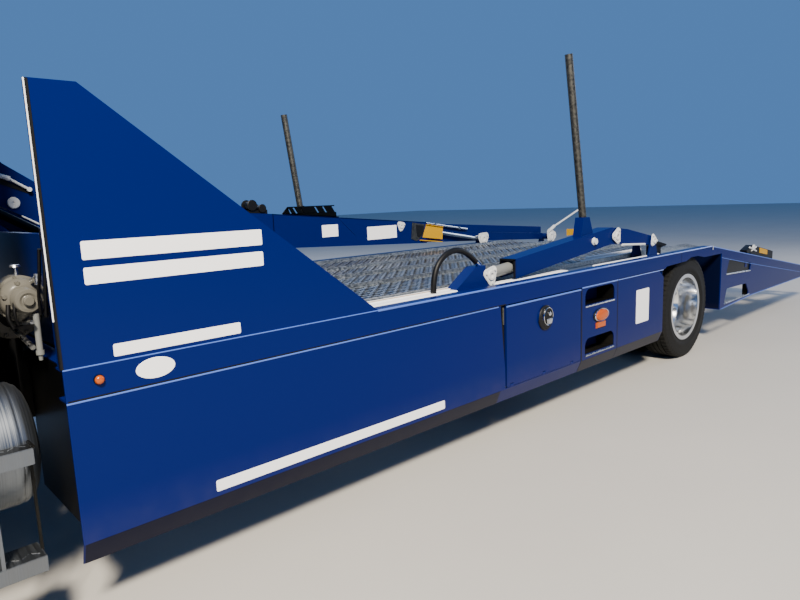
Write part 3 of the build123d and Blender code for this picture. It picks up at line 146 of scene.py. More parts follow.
# %% [markdown]
# ## The finishes
#
# The body is steel sheet, primed and sprayed with a two-pack acrylic enamel: a deep blue under a hard clear
# gloss. Sheet metal is never quite flat, so a slow wave, two hands long, bends the reflections, and road dust
# greys the lowest part. The wave could be modelled, but it is less than a millimetre high, so bump draws it, a
# little deeper than it is, so that it shows.

# %% Sprayed enamel
SHEET_WAVE_MM = 380.0
SHEET_WAVE_DEEP_MM = 2.0
DUST_GRAIN_MM = 90.0
DUST_FROM = 0.2
DUST = paint("8d8677")


def dusted(tree, place, colour, dust, reach, grain_mm, most=0.5):
    """Colour under a film of dust that thins out with height, up to reach metres, in clouds of grain_mm."""
    height = add(tree, "ShaderNodeSeparateXYZ", {0: place}).outputs["Z"]
    fade = add(tree, "ShaderNodeMapRange", {0: height, 1: DUST_FROM, 2: reach, 3: most, 4: 0.0})
    clouds = add(tree, "ShaderNodeTexNoise", {"Vector": place, "Scale": 1000 / grain_mm, "Detail": 6.0})
    amount = add(tree, "ShaderNodeMath", {0: fade.outputs[0], 1: clouds.outputs["Fac"]}, operation="MULTIPLY")
    mixed = add(tree, "ShaderNodeMix", {"Factor": amount.outputs[0], 6: colour, 7: dust}, data_type="RGBA")
    return mixed.outputs[2], amount.outputs[0]


def sprayed_enamel(name, code, gloss=0.25, reach=0.5, most=0.1):
    """Two-pack enamel on sheet steel: an even colour, a clear gloss, a slow wave and dust low down."""
    material, tree, surface, place = finish_of(
        name, Specular_IOR_Level=0.1, Coat_Weight=gloss, Coat_Roughness=0.06, Coat_IOR=1.4)
    colour, amount = dusted(tree, place, paint(code), DUST, reach, DUST_GRAIN_MM, most)
    rough = add(tree, "ShaderNodeMapRange", {0: amount, 1: 0.0, 2: 0.4, 3: 0.28, 4: 0.75})
    wave = add(tree, "ShaderNodeTexNoise", {"Vector": place, "Scale": 1000 / SHEET_WAVE_MM, "Detail": 1.0})
    bump = add(tree, "ShaderNodeBump", {
        "Height": wave.outputs["Fac"], "Distance": SHEET_WAVE_DEEP_MM / 1000, "Strength": 0.5})
    feed(tree, surface, Base_Color=colour, Roughness=rough.outputs[0], Normal=bump.outputs[0])
    return material


blue_enamel = sprayed_enamel("blue_acrylic_enamel_sprayed", "001050", 0.02)
# painted shade: a near-black blue film on faces that lie in shade, the hem and the plate behind the rear wheels
painted_shade_blue = sprayed_enamel("painted_shade_film_dark_blue", "060a22", 0.02, 0.4, 0.06)
black_enamel = sprayed_enamel("black_chassis_enamel_sprayed", "050607", 0.04, 1.0, 0.06)
yellow_enamel = sprayed_enamel("yellow_enamel_brushed", "b88a00", 0.1, 0.9)
grey_enamel = sprayed_enamel("grey_machine_enamel_brushed", "6c6e6c", 0.1, 0.9)
cast_grey = sprayed_enamel("grey_enamel_on_cast_steel", "5c5a53", 0.05, 0.9)
silver_enamel = sprayed_enamel("silver_zinc_rich_enamel_sprayed", "c4c7c8", 0.1, 0.9)
# painted highlight: a pale blue for the thin turned edges, standing in for the light they catch
painted_highlight_blue = sprayed_enamel("painted_highlight_pale_blue", "4a68b8", 0.6, 0.3)
print("enamels", [m.name for m in (blue_enamel, black_enamel, yellow_enamel, grey_enamel)])

# %% [markdown]
# Hot-dip galvanised steel shows its zinc crystals: flat patches, each a slightly different grey, a
# centimetre or two across. A photograph of zinc would do, but a cell pattern scaled to the real patch needs
# no picture and never repeats. Aluminium is polished bright on a lathe, so fine rings run round a turned
# part, and a rolled tank carries them round its length. Both rings come from noise squeezed along one axis.

# %% Metals
SPANGLE_MM = 14.0
TURNING_MM = 3.0
STAIN_MM = 1000 / 9


def dipped_zinc(name, light="b9bdbf", dark="8e9396", rough=0.42):
    """Hot-dip galvanised steel, its spangle as cells of slightly different grey and gloss."""
    material, tree, surface, place = finish_of(name, Metallic=1.0)
    cells = add(tree, "ShaderNodeTexVoronoi", {"Vector": place, "Scale": 1000 / SPANGLE_MM})
    tone = add(tree, "ShaderNodeSeparateColor", {0: cells.outputs["Color"]}).outputs[0]
    patches = add(tree, "ShaderNodeMix", {"Factor": tone, 6: paint(dark), 7: paint(light)}, data_type="RGBA")
    colour, amount = dusted(tree, place, patches.outputs[2], DUST, 1.2, 60.0)
    gloss = add(tree, "ShaderNodeMapRange", {0: tone, 3: rough - 0.08, 4: rough + 0.12})
    feed(tree, surface, Base_Color=colour, Roughness=gloss.outputs[0])
    return material


def turned_metal(name, code, axis, rough, ring_mm=TURNING_MM, depth_mm=0.02):
    """Metal with fine rings that lie across one axis, as a lathe or a polishing wheel leaves them."""
    material, tree, surface, place = finish_of(name, Metallic=1.0)
    squeeze = [1.0, 1.0, 1.0]
    squeeze["XYZ".index(axis)] = 1000 / ring_mm
    rings = add(tree, "ShaderNodeMapping", {0: place, 3: squeeze})
    streaks = add(tree, "ShaderNodeTexNoise", {"Vector": rings.outputs[0], "Scale": 1.0, "Detail": 3.0})
    marks = streaks.outputs["Fac"]
    stain = add(tree, "ShaderNodeTexNoise", {"Vector": place, "Scale": 1000 / STAIN_MM, "Detail": 5.0})
    worn = add(tree, "ShaderNodeMapRange", {0: stain.outputs["Fac"], 1: 0.4, 2: 0.75, 3: 1.0, 4: 0.8})
    colour = add(tree, "ShaderNodeMix", {"Factor": worn.outputs[0], 6: paint("6f6d68"), 7: paint(code)},
                 data_type="RGBA")
    gloss = add(tree, "ShaderNodeMapRange", {0: marks, 1: 0.3, 2: 0.7, 3: rough * 0.7, 4: rough * 1.4})
    bump = add(tree, "ShaderNodeBump", {"Height": marks, "Distance": depth_mm / 1000, "Strength": 1.0})
    feed(tree, surface, Base_Color=colour.outputs[2], Roughness=gloss.outputs[0], Normal=bump.outputs[0])
    return material


galvanised = dipped_zinc("galvanised_steel_dipped")
grey_tube = dipped_zinc("galvanised_tube_weathered", "5a5a56", "4a4a47", 0.5)
zinc_plated = dipped_zinc("steel_zinc_plated", "e2e4e3", "c9cccc", 0.3)
polished_rim = turned_metal("aluminium_polished_turned", "e4e6e8", "Y", 0.14)
rolled_tank = turned_metal("aluminium_rolled_brushed", "767c83", "X", 0.42)
chrome = turned_metal("chrome_plate_on_steel", "dfe3e8", "Y", 0.06, 20.0, 0.0)
ground_rod = turned_metal("chromed_rod_ground", "c9ced4", "Y", 0.14, 20.0, 0.0)
print("metals", [m.name for m in (galvanised, grey_tube, polished_rim, rolled_tank, chrome, ground_rod)])

# %% [markdown]
# Rubber and plastic are moulded, so their surface copies the mould: rubber is dull, with dust in its pores,
# and the black plastic has a fine leather-like grain half a millimetre across, drawn here at 2 mm to show.
# Glass is a clear solid with a faint green tint. A lamp's lens is plastic coloured right through.

# %% Rubber, plastic, glass and lenses
RIPPLE_DEEP_MM = 0.1


def moulded(name, code, rough, grain_mm, depth_mm, reach=0.9):
    """A moulded rubber or plastic skin: dull, grained and dusty near the ground."""
    material, tree, surface, place = finish_of(name, IOR=1.52, Specular_IOR_Level=0.25)
    colour, amount = dusted(tree, place, paint(code), paint("6b665b"), reach, 40.0, 0.05)
    pores = add(tree, "ShaderNodeTexNoise", {"Vector": place, "Scale": 1000 / grain_mm, "Detail": 2.0})
    grain = pores.outputs["Fac"]
    gloss = add(tree, "ShaderNodeMapRange", {0: grain, 3: rough - 0.1, 4: rough + 0.1})
    bump = add(tree, "ShaderNodeBump", {"Height": grain, "Distance": depth_mm / 1000, "Strength": 1.0})
    feed(tree, surface, Base_Color=colour, Roughness=gloss.outputs[0], Normal=bump.outputs[0])
    return material


def clear_solid(name, code, rough, ribs_mm, clear=1.0):
    """Glass or plastic, coloured through, with the slow ripple or the ribs of its mould."""
    material, tree, surface, place = finish_of(name, Transmission_Weight=clear, IOR=1.5, Base_Color=paint(code))
    waves = add(tree, "ShaderNodeTexNoise", {"Vector": place, "Scale": 1000 / ribs_mm, "Detail": 0.0})
    ripple = waves.outputs["Fac"]
    shade = add(tree, "ShaderNodeMapRange", {0: ripple, 3: rough, 4: rough + 0.02})
    bump = add(tree, "ShaderNodeBump", {"Height": ripple, "Distance": RIPPLE_DEEP_MM / 1000, "Strength": 1.0})
    feed(tree, surface, Roughness=shade.outputs[0], Normal=bump.outputs[0])
    return material


tyre_rubber = moulded("tyre_rubber_moulded", "050606", 0.78, 6.0, 0.12, 1.3)
hose_rubber = moulded("hose_rubber_extruded", "040405", 0.5, 3.0, 0.1)
black_plastic = moulded("black_plastic_moulded", "060607", 0.5, 2.0, 0.1)
white_vinyl = moulded("white_vinyl_film", "f4f5f6", 0.35, 30.0, 0.02, 0.5)
tinted_glass = clear_solid("laminated_glass_tinted", "b9c8c2", 0.0, 300.0)
amber_lens = clear_solid("amber_lens_moulded", "b04c00", 0.15, 5.0, 0.1)
clear_lens = clear_solid("clear_lens_moulded", "f2f6f8", 0.02, 12.0)
print("moulded", [m.name for m in (tyre_rubber, hose_rubber, black_plastic, tinted_glass, amber_lens)])

# %% [markdown]
# ## Which finish goes where
#
# Most CAD solids are right in shape, and only need their real finish. A table of nodes and finishes could
# be one line of code per node, but a dictionary from finish to nodes reads like a paint shop's list.

# %% The paint shop's list
PAINT_LIST = {
    blue_enamel: (
        "cab_shell", "door_left", "door_right", "hood", "deck_frame", "side_panels", "toolboxes",
        "toolbox_door_left", "toolbox_door_right", "headboard", "tail_frame", "deck_brackets", "lift_arm",
        "lift_beam", "rack"),
    black_enamel: (
        "frame", "front_axle", "rear_axle", "knuckle_left", "knuckle_right", "tie_rod", "engine",
        "exhaust", "rack_rods"),
    galvanised: ("runway_left", "deck_centre", "runways_ribbed", "edge_plates"),
    grey_tube: ("post_left", "post_right"),
    tinted_glass: ("cab_glass", "door_glass_left", "door_glass_right"),
    black_plastic: ("mirrors", "cab_interior"),
    chrome: ("front_bumper", "grille"),
    ground_rod: ("arm_rod", "beam_rod"),
    rolled_tank: ("fuel_tanks", "cab_steps"),
    grey_enamel: ("arm_barrel", "beam_barrel", "rack_barrels"),
    polished_rim: ("rims_front_left", "rims_front_right", "rims_rear_left", "rims_rear_right"),
    tyre_rubber: ("tyres_front_left", "tyres_front_right", "tyres_rear_left", "tyres_rear_right"),
    hose_rubber: ("hydraulic_hose",),
    amber_lens: ("lamps",),
    clear_lens: ("headlamps",),
}

for finish, names in PAINT_LIST.items():
    for name in names:
        for slot in nodes[name].material_slots:
            slot.material = finish
left_over = sorted(set(nodes) - {name for names in PAINT_LIST.values() for name in names})
print("nodes without a finish:", left_over)

# %% [markdown]
# ## Making shapes
#
# Most of what follows is sheet metal, turned parts and bars. Blender's ready-made cube and cylinder could be
# scaled one by one, but real parts have folded or rounded edges. So a few small functions draw into a bmesh:
# a slab from an outline, a turned part from its profile, a bar along a line of points. Each piece is one
# mesh of many such shapes, which keeps the list of objects as short as a parts list.

# %% Slabs
AXES = {"X": (1, 2, 0), "Y": (0, 2, 1), "Z": (0, 1, 2)}


def placed(axis, along, across, height):
    """A point from its two coordinates in the plane that an axis crosses, and its place on that axis."""
    first, second, normal = AXES[axis]
    point = [0.0, 0.0, 0.0]
    point[first], point[second], point[normal] = along, across, height
    return point


def slab(bm, axis, outline, low, high, soft=0.0):
    """A plate with an outline in the plane across an axis, from low to high on it, its edges rounded by soft."""
    rings = [[bm.verts.new(placed(axis, a, b, level)) for a, b in outline] for level in (low, high)]
    made = [bm.faces.new(rings[0]), bm.faces.new(list(reversed(rings[1])))]
    for i in range(len(outline)):
        j = (i + 1) % len(outline)
        made.append(bm.faces.new((rings[0][j], rings[0][i], rings[1][i], rings[1][j])))
    bmesh.ops.recalc_face_normals(bm, faces=made)
    if soft:
        edges = list({edge for face in made for edge in face.edges})
        bmesh.ops.bevel(bm, geom=edges, offset=soft, segments=2, affect="EDGES", clamp_overlap=True)


def cuboid(bm, low, high, soft=0.0):
    """A box between two corners."""
    outline = [(low[0], low[1]), (high[0], low[1]), (high[0], high[1]), (low[0], high[1])]
    slab(bm, "Z", outline, low[2], high[2], soft)

# %% Turned parts and bars
def skin(bm, rings, ends=True):
    """Faces from each ring of points to the next, and over the end rings. A ring may be a single point."""
    made = [bm.faces.new(ring) for ring in (rings[0], rings[-1]) if ends and len(ring) > 1]
    for before, after in zip(rings, rings[1:]):
        for i in range(max(len(before), len(after))):
            j = i + 1
            corners = [ring[k % len(ring)] for ring, k in ((before, i), (before, j), (after, j), (after, i))]
            made.append(bm.faces.new(list(dict.fromkeys(corners))))
    bmesh.ops.recalc_face_normals(bm, faces=made)


def turned(bm, axis, centre, profile, steps=32):
    """A part turned on a lathe: its profile is pairs of radius and place along the axis."""
    first, second, normal = AXES[axis]
    rings = []
    for radius, along in profile:
        ring = []
        for i in range(steps if radius > 0 else 1):
            angle = math.tau * (i + 0.5) / steps
            point = list(centre)
            point[first] += radius * math.cos(angle)
            point[second] += radius * math.sin(angle)
            point[normal] += along
            ring.append(bm.verts.new(point))
        rings.append(ring)
    skin(bm, rings)


def bar(bm, points, radius, steps=16):
    """A round bar along a line of points, its ends closed."""
    line = [Vector(point) for point in points]
    angles = [math.tau * k / steps for k in range(steps)]
    rings = []
    side = None
    for i, point in enumerate(line):
        ahead = (line[min(i + 1, len(line) - 1)] - line[max(i - 1, 0)]).normalized()
        if side is None:
            side = ahead.orthogonal().normalized()
        side = (side - ahead * side.dot(ahead)).normalized()
        other = ahead.cross(side)
        rings.append([bm.verts.new(point + side * radius * math.cos(a) + other * radius * math.sin(a))
                      for a in angles])
    skin(bm, rings)


def rounded(points, radius, steps=5):
    """A line of points with its corners rounded to arcs of about radius."""
    line = [Vector(point) for point in points]
    smooth = [line[0]]
    for before, corner, after in zip(line, line[1:], line[2:]):
        reach = min(radius, (corner - before).length * 0.45, (after - corner).length * 0.45)
        start = corner + (before - corner).normalized() * reach
        end = corner + (after - corner).normalized() * reach
        for k in range(steps + 1):
            t = k / steps
            smooth.append(start * (1 - t) ** 2 + corner * 2 * t * (1 - t) + end * t ** 2)
    return smooth + [line[-1]]

# %% [markdown]
# A drawing becomes a piece by the line above it, which says its finish, the body that it rides on and its
# sides. Each piece could have its own lines for the mesh, the object and its materials, but said once they
# are the same for all. A part that the truck has on both sides is drawn on the left and mirrored.


def piece(*finishes, body="chassis", name=None, sides="left", slot=None, sharp_deg=35.0):
    """Makes a piece from the drawing below it: as drawn on the left, its mirror image on the right, or both."""
    def make(draw):
        bm = bmesh.new()
        draw(bm)
        mirror = bm.verts[:] + bm.edges[:] + bm.faces[:]
        if sides == "both":
            mirror = bmesh.ops.duplicate(bm, geom=mirror)["geom"]
        if sides != "left":
            for vert in (part for part in mirror if isinstance(part, bmesh.types.BMVert)):
                vert.co.y = -vert.co.y
            bmesh.ops.reverse_faces(bm, faces=[part for part in mirror if isinstance(part, bmesh.types.BMFace)])
        mesh = bpy.data.meshes.new(name or draw.__name__)
        bm.to_mesh(mesh)
        bm.free()
        mesh.shade_smooth()
        mesh.set_sharp_from_angle(angle=math.radians(sharp_deg))
        for finish in finishes:
            mesh.materials.append(finish)
        obj = into_scene(mesh.name, mesh)
        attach(obj, body)
        print(obj.name, len(mesh.polygons), "faces")
        return obj
    return make

# %% [markdown]
# ## The hydraulic hose
#
# A rubber hose with steel braid inside carries the oil to the lift arm's cylinder. It leaves a crimped
# fitting on the blue bracket, stands up in its own stiff curve and drops through a gland in the deck. It
# could be a mesh tube, but a NURBS curve of a few points bends as evenly as a hose does, and its bevel gives
# the round section. The points are those of the CAD model's route, in metres forward of the rear axle. A
# loose woven sleeve covers it, as it does wherever a hose can rub.

# %% The hose
REAR_AXLE = -2.1
HOSE_Y = 1.152
HOSE_D = 0.022
SLEEVE_THICK = 0.006
HOSE_ROUTE = ((2.808, 1.132), (2.915, 1.222), (3.08, 1.212), (3.185, 1.105), (3.185, 0.985))


def hose_curve(name, points, radius):
    """A round tube of hose rubber along one NURBS spline through control points."""
    data = bpy.data.curves.new(name, "CURVE")
    data.dimensions = "3D"
    data.resolution_u = 24
    data.bevel_depth = radius
    data.bevel_resolution = 5
    data.use_fill_caps = True
    line = data.splines.new("NURBS")
    line.points.add(len(points) - 1)
    for knot, point in zip(line.points, points):
        knot.co = (*point, 1.0)
    line.order_u = 3
    line.use_endpoint_u = True
    data.materials.append(hose_rubber)
    curve = into_scene(name, data)
    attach(curve, "chassis")
    return curve


hose_points = [(REAR_AXLE + forward, HOSE_Y, height) for forward, height in HOSE_ROUTE]
hose = hose_curve("hose_black_rubber", hose_points, HOSE_D / 2)
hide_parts("hydraulic_hose")
hose_curve("hose_sleeve_woven", hose_points, HOSE_D / 2 + SLEEVE_THICK)
print("hose of", len(hose_points), "control points")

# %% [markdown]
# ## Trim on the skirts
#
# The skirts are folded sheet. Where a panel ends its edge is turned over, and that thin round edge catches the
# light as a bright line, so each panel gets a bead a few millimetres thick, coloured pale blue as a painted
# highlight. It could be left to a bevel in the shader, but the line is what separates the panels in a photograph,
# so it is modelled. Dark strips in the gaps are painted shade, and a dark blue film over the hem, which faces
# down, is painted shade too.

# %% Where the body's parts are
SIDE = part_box("side_panels")[1].y
HEM_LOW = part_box("side_panels")[0].z
SKIRT_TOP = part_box("side_panels")[1].z
DOOR_LOW, DOOR_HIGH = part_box("toolbox_door_left")
FRONT_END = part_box("side_panels")[1].x
RAIL_TOP = 0.985
BEND = 0.337
HEM_IN = 0.036
WELL_REAR = -2.814
BEAD_Y = SIDE - 0.001
PIN_BACK = SIDE - 0.008
SKIN_BACK = SIDE - 0.012


def at(forward):
    """The place on X of a distance forward of the rear axle."""
    return REAR_AXLE + forward


print("skirts reach out to", round(SIDE, 3), "and down to", round(HEM_LOW, 3))

# %% Beads on the turned edges
def edge_line(bm, start, end, radius=0.0035):
    """A bead on the side's plane between two places given as (forward, height)."""
    bar(bm, [(at(start[0]), BEAD_Y, start[1]), (at(end[0]), BEAD_Y, end[1])], radius, 8)


@piece(painted_highlight_blue, sides="both")
def skirt_edge_beads_painted_highlight(bm):
    """Turned edges along the tops of the panels, the rail and the tail, pale blue as a painted highlight."""
    front, top = FRONT_END - REAR_AXLE, SKIRT_TOP - 0.004
    for start, end, radius in (
            ((2.775, top), (front, top), 0.004),
            ((1.332, top), (1.832, top), 0.006),
            ((0.56, top), (1.32, top), 0.004),
            ((3.734, RAIL_TOP - 0.002), (front, RAIL_TOP - 0.002), 0.003),
            ((-0.45, RAIL_TOP - 0.004), (3.734, RAIL_TOP - 0.004), 0.006),
            ((-0.47, 0.978), (-3.98, 0.424), 0.005),
            ((-0.72, 0.85), (-1.6, 0.706), 0.003),
            ((-1.6, 0.706), (-3.3, 0.444), 0.003),
            ((-0.74, 0.338), (-1.56, 0.373), 0.004),
            ((-1.56, 0.373), (-3.98, 0.373), 0.004)):
        edge_line(bm, start, end, radius)


for hand in ("left", "right"):
    # the bead on the toolbox door's top edge, in the pale blue painted highlight
    @piece(painted_highlight_blue, body=f"toolbox_door_{hand}", name=f"toolbox_door_highlight_bead_{hand}", sides=hand)
    def door_bead(bm):
        top = DOOR_HIGH.z - 0.004
        bar(bm, [(DOOR_LOW.x + 0.002, BEAD_Y, top), (DOOR_HIGH.x - 0.002, BEAD_Y, top)], 0.006, 8)

# %% Painted shade on the hem and in the gaps
@piece(painted_shade_blue, sides="both")
def hem_painted_shade(bm):
    """A dark blue film on the hem's outer face, painting its shade, in the lengths between the panels' joints."""
    for rear, front in ((2.768, 5.168), (1.329, 1.843), (0.562, 1.325)):
        fall = Vector((HEM_IN, BEND - HEM_LOW)).normalized() * 0.0015
        section = [(SIDE, BEND), (SIDE - HEM_IN, HEM_LOW), (SIDE - HEM_IN + fall.y, HEM_LOW - fall.x),
                   (SIDE + fall.y, BEND - fall.x)]
        slab(bm, "X", section, at(rear), at(front))


@piece(hose_rubber, sides="both", slot="black_plastic")
def panel_gaps_painted_shade(bm):
    """Dark strips on the plane of the side that paint the shade in the gaps: (rear, front, low, high)."""
    for rear, front, low, high in (
            (2.705, 5.168, SKIRT_TOP, SKIRT_TOP + 0.006),
            (0.562, 1.832, SKIRT_TOP, SKIRT_TOP + 0.004),
            (1.831, 1.8435, BEND, SKIRT_TOP - 0.002),
            (1.3225, 1.3305, BEND, SKIRT_TOP - 0.002),
            (0.203, 0.206, 0.88, RAIL_TOP - 0.01)):
        cuboid(bm, (at(rear), SIDE, low), (at(front), SIDE + 0.0008, high))
    # painted shade: a dark wedge and a dark plate behind the gap before the toolbox door
    slab(bm, "Y", [(at(2.706), 0.39), (at(2.766), 0.852), (at(2.706), 0.852)], SIDE - 0.016, SKIN_BACK)
    cuboid(bm, (at(2.7), SIDE - 0.03, 0.35), (at(2.79), SIDE - 0.016, 0.86))

# %% [markdown]
# Behind each step opening lies a box of black moulded plastic; its black also paints the shade inside the recess.
# Its sill carries a bright nosing that the boot scrapes clean. The openings of the tail get the same bright bars
# on their lower lips, as a painted highlight of the light on those lips, and dark plates behind them paint their
# shade. A dark box could be faked with a black face, but its floor and ends show from every side, so the five
# walls are made. A dark blue film on the plate behind the rear wheels paints its shade, and a strap ratchet in
# its black case rests on the tail: flat plates and short bars.

# %% Step boxes
STEP_OPENINGS = ((0.72, 0.848), (0.362, 0.489))
STEP_REAR, STEP_FRONT = at(1.375), at(1.79)
STEP_DEPTH = 0.15


@piece(black_enamel, sides="both", slot="black_plastic")
def step_boxes_and_painted_shade(bm):
    """The walls, black as plastic and as painted shade of the recess, the grip ribs of each floor and two dark
    plates behind the tail's openings that paint their shade.
    """
    inner, outer, wall = SIDE - STEP_DEPTH + 0.0005, SIDE - 0.006, 0.002
    rear, front = STEP_REAR + 0.0005, STEP_FRONT - 0.0005
    for low, high in STEP_OPENINGS:
        cuboid(bm, (rear, inner, low), (front, inner + wall, high))
        cuboid(bm, (rear, inner, high - wall), (front, outer, high))
        cuboid(bm, (rear, inner, low), (front, outer, low + wall))
        for x in (rear, front - wall):
            cuboid(bm, (x, inner, low), (x + wall, outer, high))
        for i in range(7):
            x = rear + 0.05 + i * 0.05
            cuboid(bm, (x, inner + 0.01, low + wall), (x + 0.012, SKIN_BACK, low + wall + 0.003), 0.001)
    # painted shade: two dark plates behind the tail's openings
    cuboid(bm, (at(-1.56), SIDE - 0.018, 0.625), (at(-0.83), SKIN_BACK, 0.83))
    cuboid(bm, (at(-1.56), SIDE - 0.075, 0.375), (at(-1.535), SKIN_BACK, 0.54))

# %% Painted shade behind the wheels, ratchet, door props and sills
@piece(painted_shade_blue, sides="both")
def well_rear_painted_shade(bm):
    """A dark blue film over the plate behind the rear wheels, painting its shade."""
    cuboid(bm, (WELL_REAR, 0.64, 0.345), (WELL_REAR + 0.002, SIDE - 0.01, 0.88))


@piece(black_plastic)
def ratchet_case(bm):
    """The case of the strap ratchet on the tail's edge."""
    outline = [(at(-1.45), 0.8), (at(-1.43), 0.862), (at(-1.6), 0.908), (at(-2.27), 0.79), (at(-2.27), 0.672)]
    slab(bm, "Y", outline, SIDE - 0.085, SKIN_BACK, 0.004)


@piece(silver_enamel)
def ratchet_handle(bm):
    """Its drum and the two levers of its handle."""
    turned(bm, "Y", (at(-1.62), SKIN_BACK, 0.88), ((0.03, 0.0), (0.03, 0.012), (0.012, 0.014), (0.0, 0.014)), 20)
    bar(bm, [(at(-1.5), PIN_BACK, 0.89), (at(-1.7), PIN_BACK, 0.835)], 0.009, 8)
    bar(bm, [(at(-1.56), PIN_BACK, 0.85), (at(-1.7), PIN_BACK, 0.88)], 0.007, 8)


@piece(yellow_enamel)
def ratchet_strap(bm):
    outline = [(at(-1.82), 0.862), (at(-1.82), 0.806), (at(-2.07), 0.766), (at(-2.07), 0.818)]
    slab(bm, "Y", outline, SKIN_BACK, PIN_BACK)


@piece(grey_tube, sides="both")
def toolbox_prop_tubes(bm):
    """The toolbox door's prop, seen in the wedge-shaped gap before the door."""
    bar(bm, [(at(2.722), PIN_BACK, 0.745), (at(2.722), PIN_BACK, 0.85)], 0.006, 10)


@piece(zinc_plated, sides="both")
def sills_and_painted_highlights(bm):
    for low, high in STEP_OPENINGS:
        bar(bm, [(STEP_REAR + 0.002, BEAD_Y, low), (STEP_FRONT - 0.002, BEAD_Y, low)], 0.0065, 8)
    # painted highlight: bright bars on the lower lips of the tail's openings
    edge_line(bm, (-0.846, 0.672), (-1.518, 0.644), 0.007)
    edge_line(bm, (-0.822, 0.379), (-1.528, 0.39), 0.006)
    bar(bm, [(at(-0.478), SIDE + 0.003, 0.95), (at(-0.478), SIDE + 0.003, 0.984)], 0.007, 10)

# %% [markdown]
# The body carries a sign writer's vinyl: plain white bars on the fins and the skirts, a blank oval badge and
# a blank plate. Vinyl film is a tenth of a millimetre thick. It could be painted on by a pattern in the
# enamel, but cut film has crisp edges and its own duller gloss, so it is a thin slab with its own material.

# %% Vinyl bars, badge and plate
def oval(centre, half_wide, half_high, steps=40):
    """Points of an oval in a plane."""
    angles = [math.tau * i / steps for i in range(steps)]
    return [(centre[0] + half_wide * math.cos(a), centre[1] + half_high * math.sin(a)) for a in angles]


def round_rect(low, high, radius, steps=5):
    """Points of a rectangle with round corners in a plane."""
    points = []
    for (x, y), start in (((high[0] - radius, high[1] - radius), 0), ((low[0] + radius, high[1] - radius), 1),
                          ((low[0] + radius, low[1] + radius), 2), ((high[0] - radius, low[1] + radius), 3)):
        for i in range(steps + 1):
            angle = math.pi / 2 * (start + i / steps)
            points.append((x + radius * math.cos(angle), y + radius * math.sin(angle)))
    return points


FILM = 0.0008
BARS = (
    # front and rear, forward of the rear axle, then low and high
    (5.07, 4.36, 1.356, 1.421),
    (5.07, 4.36, 1.269, 1.329),
    (5.0, 4.49, 1.0, 1.046),
    (4.655, 3.27, 0.357, 0.405),
)


@piece(white_vinyl, sides="both")
def vinyl_bars(bm):
    for front, rear, low, high in BARS:
        outline = round_rect((at(rear), low), (at(front), high), 0.006, 3)
        slab(bm, "Y", outline, SIDE, SIDE + FILM)


@piece(white_vinyl, sides="both")
def oval_badge_blank(bm):
    slab(bm, "Y", oval((at(4.855), 0.93), 0.075, 0.04), SIDE, SIDE + 0.0025, 0.001)


@piece(white_vinyl)
def plate_blank(bm):
    slab(bm, "Y", round_rect((at(0.811), 0.474), (at(1.027), 0.745), 0.008, 3), SIDE, SIDE + 0.001)

# %% [markdown]
# ## Lamps, reflector and latch
#
# A side lamp is an amber lens in a chrome bezel on a black gasket. The lens could be a flat slab, but a real
# one is domed and ribbed inside, and the bezel's roll is what shines. Both are lofted from ovals that shrink
# as they rise. The toolbox latch is a chrome paddle in an oval cup, drawn the same way.

# %% Domes from ovals
def dome(bm, axis, centre, half_wide, half_high, rings):
    """Ovals stacked outward: rings pairs a share of the size with a height above the panel."""
    first, second, normal = AXES[axis]
    loops = []
    for share, rise in rings:
        loop = []
        for along, across in oval((centre[first], centre[second]), half_wide * share, half_high * share):
            loop.append(bm.verts.new(placed(axis, along, across, centre[normal] + rise)))
        loops.append(loop)
    skin(bm, loops)


TURN_LAMP = Vector((at(1.574), SIDE, 0.635))
MARKER = Vector((at(5.06), SIDE, 0.929))
REFLECTOR = Vector((at(1.575), SIDE, 0.565))
LATCH = Vector((at(2.287), SIDE, 0.724))
LATCH_RING = Vector((at(2.272), SIDE + 0.01, 0.731))
GASKET = ((1.0, 0.0), (1.0, 0.004), (0.97, 0.006), (0.6, 0.006))
BEZEL = ((0.9, 0.004), (0.9, 0.011), (0.86, 0.015), (0.8, 0.014), (0.77, 0.008), (0.77, 0.004))
LENS = ((0.79, 0.0), (0.79, 0.012), (0.72, 0.02), (0.5, 0.025), (0.25, 0.027))


def reflector(half_wide, half_high, radius):
    """The outline of the reflector, or of the gasket behind it."""
    x, z = REFLECTOR.x, REFLECTOR.z
    return round_rect((x - half_wide, z - half_high), (x + half_wide, z + half_high), radius)


@piece(black_plastic, sides="both")
def lamp_gaskets(bm):
    dome(bm, "Y", TURN_LAMP, 0.108, 0.052, GASKET)
    dome(bm, "Y", MARKER, 0.019, 0.019, GASKET)
    slab(bm, "Y", reflector(0.063, 0.025, 0.006), SIDE, SIDE + 0.003)


@piece(chrome, sides="both")
def lamp_bezels_chrome(bm):
    dome(bm, "Y", TURN_LAMP, 0.108, 0.054, BEZEL)


@piece(amber_lens, sides="both")
def lamp_lenses_amber(bm):
    dome(bm, "Y", TURN_LAMP, 0.108, 0.054, LENS)
    dome(bm, "Y", MARKER, 0.019, 0.019, ((0.85, 0.0), (0.85, 0.01), (0.7, 0.015), (0.4, 0.018), (0.2, 0.0185)))
    slab(bm, "Y", reflector(0.058, 0.02, 0.005), SIDE + 0.001, SIDE + 0.009, 0.001)

# %% The paddle latch
def latch_cup(bm):
    dome(bm, "Y", LATCH, 0.08, 0.082, ((1.0, 0.0), (1.0, 0.007), (0.94, 0.012), (0.6, 0.012)))
    dome(bm, "Y", LATCH_RING, 0.047, 0.056, ((1.0, 0.006), (1.0, 0.0085), (0.8, 0.0085)))


